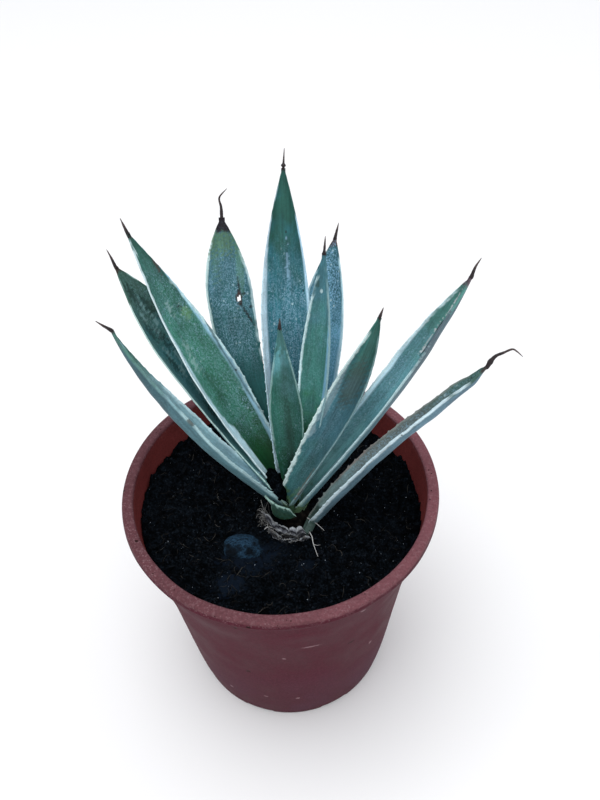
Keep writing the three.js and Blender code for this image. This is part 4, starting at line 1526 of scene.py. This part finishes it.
def leaf_rows() -> list[Leaf]:
    """The eleven leaves, front first, with the CAD's sizes and each one's colours.

    Returns:
        The leaves, ready to build.
    """
    return [
        Leaf(
            "01", (4.5, -9, 174), (71.5, -33.5), (60, -7.5), (130.5, 11.4), 0.55, 0.6, 1.9, (-16, -15), 34, 4,
            ((0.2, 6, 0.1),),
            LeafPaint("#285152", "#305963", "#2d5851", bloom=0.25, bloom_reach=(0.05, 0.6), base="#3a5a40",
                      base_reach=0.04, margin=("#cfe6e4", "#8fb0b2"), margin_width=(1.4, 0.6),
                      margin_cover=(0.95, 0.5), gain=(1.6, 0.95), strip=("#728f97", "#86abc2"),
                      strip_from=(0.54, 2.0), strip_flare=(-0.6, 0.0), marks=(
                Mark(0.68, 0.1, 15, 7.5, "#39453f", 0.55), Mark(0.15, 0.86, 11, 0.9, "#6e6055", 0.75))),
        ),
        Leaf(
            "02", (8.6, -5, 166.4), (-5.5, 3), (74.5, 1), (120.6, 10.7), 0.57, 0.38, 1.35, (7, 3), 29, 4,
            ((0.6, 6, 0.1),),
            LeafPaint("#09311e", "#205246", "#4b7c81", bloom=0.2, bloom_reach=(0.1, 0.8), gain=(1.55, 1.0),
                      margin=("#9cc0be", "#93b8b4"), margin_width=(0.6, 0.6), margin_cover=(0.6, 0.6),
                      margin_start=(0.36, 0.36), base="#2c4c35", marks=(
                Mark(0.98, 0.0, 13, 7, "#3c6965", 0.85, ragged=0.8),
                Mark(0.4, 0.1, 26, 2.4, "#1b3d34", 0.7))),
        ),
        Leaf(
            "03", (0.5, -7, 167.5), (-83, 1.5), (48, 29.5), (165, 8.7), 0.54, 0.47, 1.35, (-3, -1), 54, 3,
            ((-2, 5.6, -2), (-3.5, 10.2, -3.6)),
            LeafPaint("#84a9b5", "#84aab2", "#4e7970", under=("#52777f", "#3c5e66"), bloom=0.3,
                      margin=("#a9cace", "#bddae0"), margin_width=(1.1, 0.8), margin_start=(-0.2, 0.3),
                      margin_end=(0.6, 0.66), base="#3f5c48", base_reach=0.05, marks=(
                Mark(0.554, -0.95, 2.4, 1.0, "#3d3a2c", 0.75), Mark(0.12, 0.85, 6, 1.2, "#7a6258", 0.7))),
            twist=-16.0, tooth=0.95,
        ),
        Leaf(
            "04", (4.5, -1, 169), (-53, 3.5), (55, 8.5), (189, 16.6), 0.49, 0.38, 1.65, (3, 4), 28, 4.5,
            ((0, 9, 0.7),),
            LeafPaint("#0f4020", "#306e5a", "#2c5b51", bloom=0.6, bloom_reach=(0.25, 0.88),
                      strip=("#c3e6f0", "#86b0c2"), strip_from=(0.78, 0.82), strip_flare=(0.3, 0.0),
                      strip_high=(0.4, 1.3), margin_end=(0.93, 0.8), gain=(1.25, 1.0), base="#174019",
                      base_reach=0.12, margin=("#d6eaee", "#bfdcde"), margin_width=(1.1, 0.9), marks=(
                Mark(0.736, 0.47, 0.5, 0.5, BLACK, 1.0), Mark(0.731, 0.6, 0.6, 0.5, BLACK, 1.0),
                Mark(0.722, 0.54, 0.5, 0.6, BLACK, 1.0), Mark(0.726, 0.38, 0.5, 0.4, BLACK, 0.9),
                Mark(0.742, 0.55, 0.4, 0.5, WHITE, 0.8), Mark(0.705, 0.6, 4.5, 2.5, YELLOW, 0.35),
                Mark(0.885, 0.99, 7, 0.8, BROWN, 0.7), Mark(0.945, -0.5, 4, 0.5, WHITE, 0.9),
                Mark(0.744, -0.03, 3, 1.2, WHITE, 0.3, ragged=1.8),
                Mark(0.614, -0.3, 4, 2, WHITE, 0.3, ragged=1.9),
                Mark(0.556, -0.4, 5, 2, WHITE, 0.3, ragged=1.9),
                Mark(0.454, -0.1, 12, 4.5, "#1d4a30", 0.5, ragged=1.4),
                Mark(0.55, 0.9, 56, 0.5, "#2f5254", 0.75, ragged=0.3))),
        ),
        Leaf(
            "05", (8, 1, 167.5), (4, 2.5), (68.5, -2.5), (201, 15.7), 0.57, 0.6, 1.8, (2, 1), 28, 4.5,
            ((0.8, 10.5, 0.4),),
            LeafPaint("#2c6455", "#2c6b77", "#214f47", bloom=1.0, bloom_reach=(0.3, 0.75),
                      strip=("#d2f0ff", "#aed3e6"), strip_from=(0.79, 0.89), strip_high=(0.62, 1.0),
                      gain=(1.15, 1.0), margin_end=(0.7, 0.62), margin=("#cbe6f0", "#b4d4e0"),
                      margin_width=(1.0, 0.8), marks=(
                Mark(0.737, 0.09, 9, 0.7, "#8fb6d0", 0.7, ragged=1.3),
                Mark(0.69, 0.16, 7, 0.6, "#8fb6d0", 0.5, ragged=1.5),
                Mark(0.827, 0.1, 0.7, 0.5, BLACK, 0.9))),
            thorn=0.62, knot=0.75,
        ),
        Leaf(
            "06", (14, -4, 171), (29.5, -1.5), (73.5, 8), (163, 9.4), 0.55, 0.6, 1.8, (-6, 2), 26, 4,
            ((0.4, 10.1, 0.8),),
            LeafPaint("#2b7433", "#336f66", "#40737e", bloom=0.22, strip=("#a9d0d6", "#6c9cb6"),
                      strip_from=(0.92, 0.7), margin=("#cce8ea", "#88aaad"), margin_width=(0.9, 1.2),
                      margin_cover=(0.85, 0.9), base="#47702f", base_reach=0.2, marks=(
                Mark(0.887, -0.6, 2.5, 0.9, "#2c4740", 0.7), Mark(0.862, -0.05, 1.2, 0.9, WHITE, 0.8))),
            thorn=0.8, waist=0.45,
        ),
        Leaf(
            "07", (11.5, -8, 169.5), (75.5, 18), (50, 21), (183, 11.6), 0.57, 0.61, 2.15, (-7, -6), 43, 3.8,
            ((0.3, 6.9, 1.2), (1.2, 13.4, 1.4)),
            LeafPaint("#699c9b", "#4d7d83", "#457a73", under=("#5c8490", "#3e5b66"), bloom=0.55,
                      bloom_reach=(0.1, 0.8), strip=("#bfe0ec", "#a5c6cc"), strip_from=(0.84, 0.86),
                      strip_flare=(0.0, 0.6), strip_high=(1.0, 0.5), margin=("#c9e2e6", "#b0ced2"),
                      margin_width=(0.8, 1.1), margin_end=(0.9, 0.68), tip="#5b4f57", tip_start=0.975,
                      gain=(1.0, 1.25), base="#5a7a58", base_reach=0.05, marks=(
                Mark(0.9, -0.22, 11, 0.35, "#c3c9cc", 0.8, ragged=1.0),
                Mark(0.89, 0.0, 12, 0.7, "#4d4c5a", 0.7), Mark(0.812, -0.06, 5, 0.8, BLACK, 0.9),
                Mark(0.77, -0.2, 11, 0.35, "#c3c9cc", 0.8, ragged=1.0),
                Mark(0.765, 0.02, 13, 0.9, "#4c4a56", 0.85), Mark(0.715, -0.12, 3, 0.7, "#d3dadc", 0.8),
                Mark(0.708, -0.02, 2.5, 0.5, BLACK, 0.8), Mark(0.8, 0.9, 34, 2.6, "#4f5f6a", 0.85))),
        ),
        Leaf(
            "08", (3.5, -2.5, 167.5), (-56.5, 5.5), (50.5, 5.5), (177, 16.8), 0.67, 0.54, 1.8, (-3, 8), 29,
            4.2, ((0.6, 6.3, 0.7), (0.8, 11, 1)),
            LeafPaint("#66a9a9", "#377174", "#3d6257", bloom=0.4, bloom_reach=(0.1, 0.98), gain=(1.1, 1.0),
                      margin=("#bcd8d2", "#93b8b2"), margin_width=(0.38, 0.36), tip="#3a3027",
                      tip_start=0.982, marks=tuple(
                Mark(a, q, 4.6, 1.3, "#7fa5a6", 0.7, ragged=1.0)
                for a, q in ((0.86, 0.0), (0.82, -0.35), (0.79, 0.15), (0.75, -0.1), (0.7, 0.2),
                             (0.68, -0.35), (0.64, 0.0), (0.6, -0.25), (0.56, 0.1), (0.52, -0.2),
                             (0.47, 0.05))) + tuple(
                Mark(a, q, 7.0, 2.4, "#182f2a", 0.7, ragged=1.2)
                for a, q in ((0.9, -0.2), (0.84, 0.3), (0.77, -0.45), (0.72, -0.1), (0.63, -0.45), (0.5, 0.1),
                             (0.43, -0.3))) + (Mark(0.7, -0.9, 60, 0.25, "#8fb2ad", 0.55, ragged=0.3),)),
        ),
        Leaf(
            "09", (-2, 0, 167.5), (-24.5, 30), (56.5, 3.5), (176.5, 14.5), 0.73, 0.36, 2, (-2, -8), 21, 4.2,
            ((-0.1, 6, 0.1), (-1, 10, 0.1), (-0.2, 12.5, 0.3), (3.7, 16.4, 1.3)),
            LeafPaint("#275d5a", "#225959", "#3a6a74", bloom=1.0, bloom_reach=(0.5, 0.93),
                      margin=("#c8e2e0", "#c4e0e4"), margin_width=(1.0, 1.0), margin_start=(0.52, 0.55),
                      tip="#1f181f", tip_start=0.955, marks=(
                Mark(0.925, 0.0, 8, 9, "#587a54", 0.65, ragged=1.2),
                Mark(0.88, -0.6, 13, 3, "#567d5c", 0.4, ragged=1.4),
                Mark(0.763, 0.49, 7, 0.8, BLACK, 0.95, lean=0.03, ragged=0.4),
                Mark(0.724, 0.45, 4.2, 1.9, "#3a2a26", 1.0),
                Mark(0.672, 0.66, 8.5, 0.75, BLACK, 0.95, lean=-0.42, ragged=0.4),
                Mark(0.739, 0.67, 0.9, 1.6, BLACK, 0.8), Mark(0.692, 0.87, 1.0, 1.2, BLACK, 0.8),
                Mark(0.84, 0.75, 16, 2.2, "#5d8a70", 0.5))),
            split=(0.724, 0.44, 2.1, 0.95), tip_half_width=1.45,
        ),
        Leaf(
            "10", (12, 0, 167.5), (21, 0.5), (57.5, -1), (161.5, 16.2), 0.58, 0.6, 1.95, (-1, 0), 27, 4,
            ((0.8, 9, -0.1),),
            LeafPaint("#5892a7", "#5e9aad", "#2f6169", bloom=1.9, bloom_reach=(0.0, 0.98), powder="#8fbedc",
                      strip=("#8db4cc", "#b4d9ea"), strip_from=(0.9, 0.88), margin=("#b8d8de", "#b4d6de"),
                      tip="#4a3c3e", tip_start=0.972),
        ),
        Leaf(
            "11", (19.5, -16, 160), (93.5, -9), (57.5, -14.5), (154, 7), 0.3, 0.5, 8.0, (-1, 11), 47, 3,
            ((-0.5, 4.2, 1.4), (-0.6, 7.8, 1.8), (0.1, 11.6, 1.1), (1.1, 16.5, 0.1), (3.1, 17.8, -1.7),
             (6.2, 18.6, -4)),
            LeafPaint("#708887", "#5f6966", "#3f625a", under=("#567482", "#587887"), bloom=0.75,
                      bloom_reach=(0.2, 0.99), margin=("#8f9692", "#c8dee6"), margin_width=(0.5, 0.8),
                      margin_cover=(0.6, 0.95), tip="#33302c", tip_start=0.98, base="#394d48",
                      base_reach=0.07, marks=(
                Mark(0.664, -0.45, 0.8, 0.7, BLACK, 0.9), Mark(0.484, 0.37, 0.8, 0.7, BLACK, 0.9),
                Mark(0.27, -1.0, 32, 0.5, "#7a6d69", 0.6, ragged=0.6))),
            root=(12.6, -24, 155), tooth=1.4, twist=9.0, sag=2.8, thorn=1.15, knot=0.5,
        ),
    ]


# ---- the scene


@dataclass
class Studio:
    """Pale floor, soft light and the camera at the photograph's angle, in millimetres."""

    eye: tuple = (0.0, -321.527, 573.457)
    right: tuple = (0.9965898, -0.07666509, -0.03051617)
    up: tuple = (0.07580948, 0.70464863, 0.70549502)
    forward: tuple = (0.03258366, 0.70540256, -0.70805758)
    lens: float = 36.0
    sensor: float = 36.0
    sight: tuple = (10.0, 20000.0)
    floor_half: float = 3000.0
    floor_drop: float = 0.4
    ground: str = "#f4f4f4"
    sky: str = "#fbfcff"
    sky_strength: float = 0.95
    aim: tuple = (0.0, 0.0, 200.0)
    lamps: tuple = (
        ("overhead", (-300.0, -100.0, 2200.0), 1400.0, 17.0, "#fdfeff"),
        ("front_fill", (600.0, -1800.0, 1400.0), 1400.0, 2.0, "#ffffff"),
    )

    def camera(self) -> None:
        """Places the camera: its columns are right, up and back, and its long side sees the sensor."""
        data = bpy.data.cameras.new("view")
        data.sensor_width, data.lens = self.sensor, self.lens
        data.clip_start, data.clip_end = (v * MM for v in self.sight)
        camera = bpy.data.objects.new("view", data)
        back = [-v for v in self.forward]
        turn = Matrix((self.right, self.up, back)).transposed().to_4x4()
        camera.matrix_world = Matrix.Translation(Vector(self.eye) * MM) @ turn
        bpy.context.scene.collection.objects.link(camera)
        bpy.context.scene.camera = camera

    def floor(self) -> None:
        """A wide pale floor, just under z = 0."""
        corners = np.array([[-1, -1, 0], [1, -1, 0], [1, 1, 0], [-1, 1, 0]]) * self.floor_half
        plane = Skin(corners - [0, 0, self.floor_drop], np.array([[0, 1, 2, 3]])).piece("floor")
        plane.data.materials.append(Shader("pale_floor").finish(self.ground, 0.9, 0.1))

    def lamp(self, name: str, place: Sequence[float], size: float, power: float, tone: str) -> None:
        """A square soft light that faces the plant.

        Args:
            name: its name.
            place: where it hangs, in millimetres.
            size: its width, in millimetres.
            power: its power in watts.
            tone: its colour.
        """
        data = bpy.data.lights.new(name, "AREA")
        data.size, data.energy, data.color = size * MM, power, tuple(linear(tone))
        lamp = bpy.data.objects.new(name, data)
        lamp.location = Vector(place) * MM
        lamp.rotation_mode = "QUATERNION"
        lamp.rotation_quaternion = (Vector(self.aim) - Vector(place)).to_track_quat("-Z", "Y")
        bpy.context.scene.collection.objects.link(lamp)

    def build(self) -> None:
        """Sets up camera, floor, sky and lamps."""
        self.camera()
        self.floor()
        world = bpy.data.worlds.new("soft_sky")
        world.use_nodes = True
        sky = world.node_tree.nodes["Background"].inputs
        sky["Color"].default_value, sky["Strength"].default_value = rgba(self.sky), self.sky_strength
        bpy.context.scene.world = world
        bpy.context.scene.view_settings.view_transform = "Standard"
        for lamp in self.lamps:
            self.lamp(*lamp)


def scales() -> list[Scale]:
    """The stump of the cut leaf and the two dried sheaths, with the CAD's sizes.

    Returns:
        The three, ready to build.
    """
    flesh = TintFinish("stump_flesh", (0.9, 0.25, 1.0), 0.18, 0.5, 0.15, 0.35, "flat")
    fibre = TintFinish("torn_sheath", (2.2, 0.35, 1.0), 0.5, 0.85, 0.5, 0.1, "flat")
    return [
        # tones are foot, rim, painted shade for the gaps between layers, and pale torn edge
        Scale("leaf_stump", (7, -7), -99, -186, (9.4, 165), (13.4, 176.5), 2.6, 0.3, (4, 0), 0.15,
              "leaf_flesh", ("#35563d", "#3d645a", "#355c51", "#9fc3b9"), flesh, sink=6.0),
        Scale("sheath_inner", (6, -13), -82, -222, (13.6, 154.6), (11.8, 164.5), 1.3, 1.3, (7, 3), 0.6,
              "dry_sheath", ("#373a40", "#757982", "#0d0e12", "#b1b7bb"), fibre, 1.6, 15),
        Scale("sheath_outer", (6, -13.5), -100, -230, (16.8, 153.4), (15.6, 158.6), 1.2, 1.3, (2, 2), 0.7,
              "dry_sheath", ("#1b1d21", "#40444b", "#090a0d", "#979ca1"), fibre, 1.6, 25),
    ]


def main() -> None:
    """Builds the scene in order: studio, pot, filling, base of the plant, then its leaves."""
    logging.basicConfig(level=logging.INFO, format="%(name)s: %(message)s")
    for part in (Studio(), Pot(), Soil(), Stone(), Stem(), CrownSoil(), *scales(), Strands(), *leaf_rows()):
        part.build()


if __name__ == "__main__":
    main()
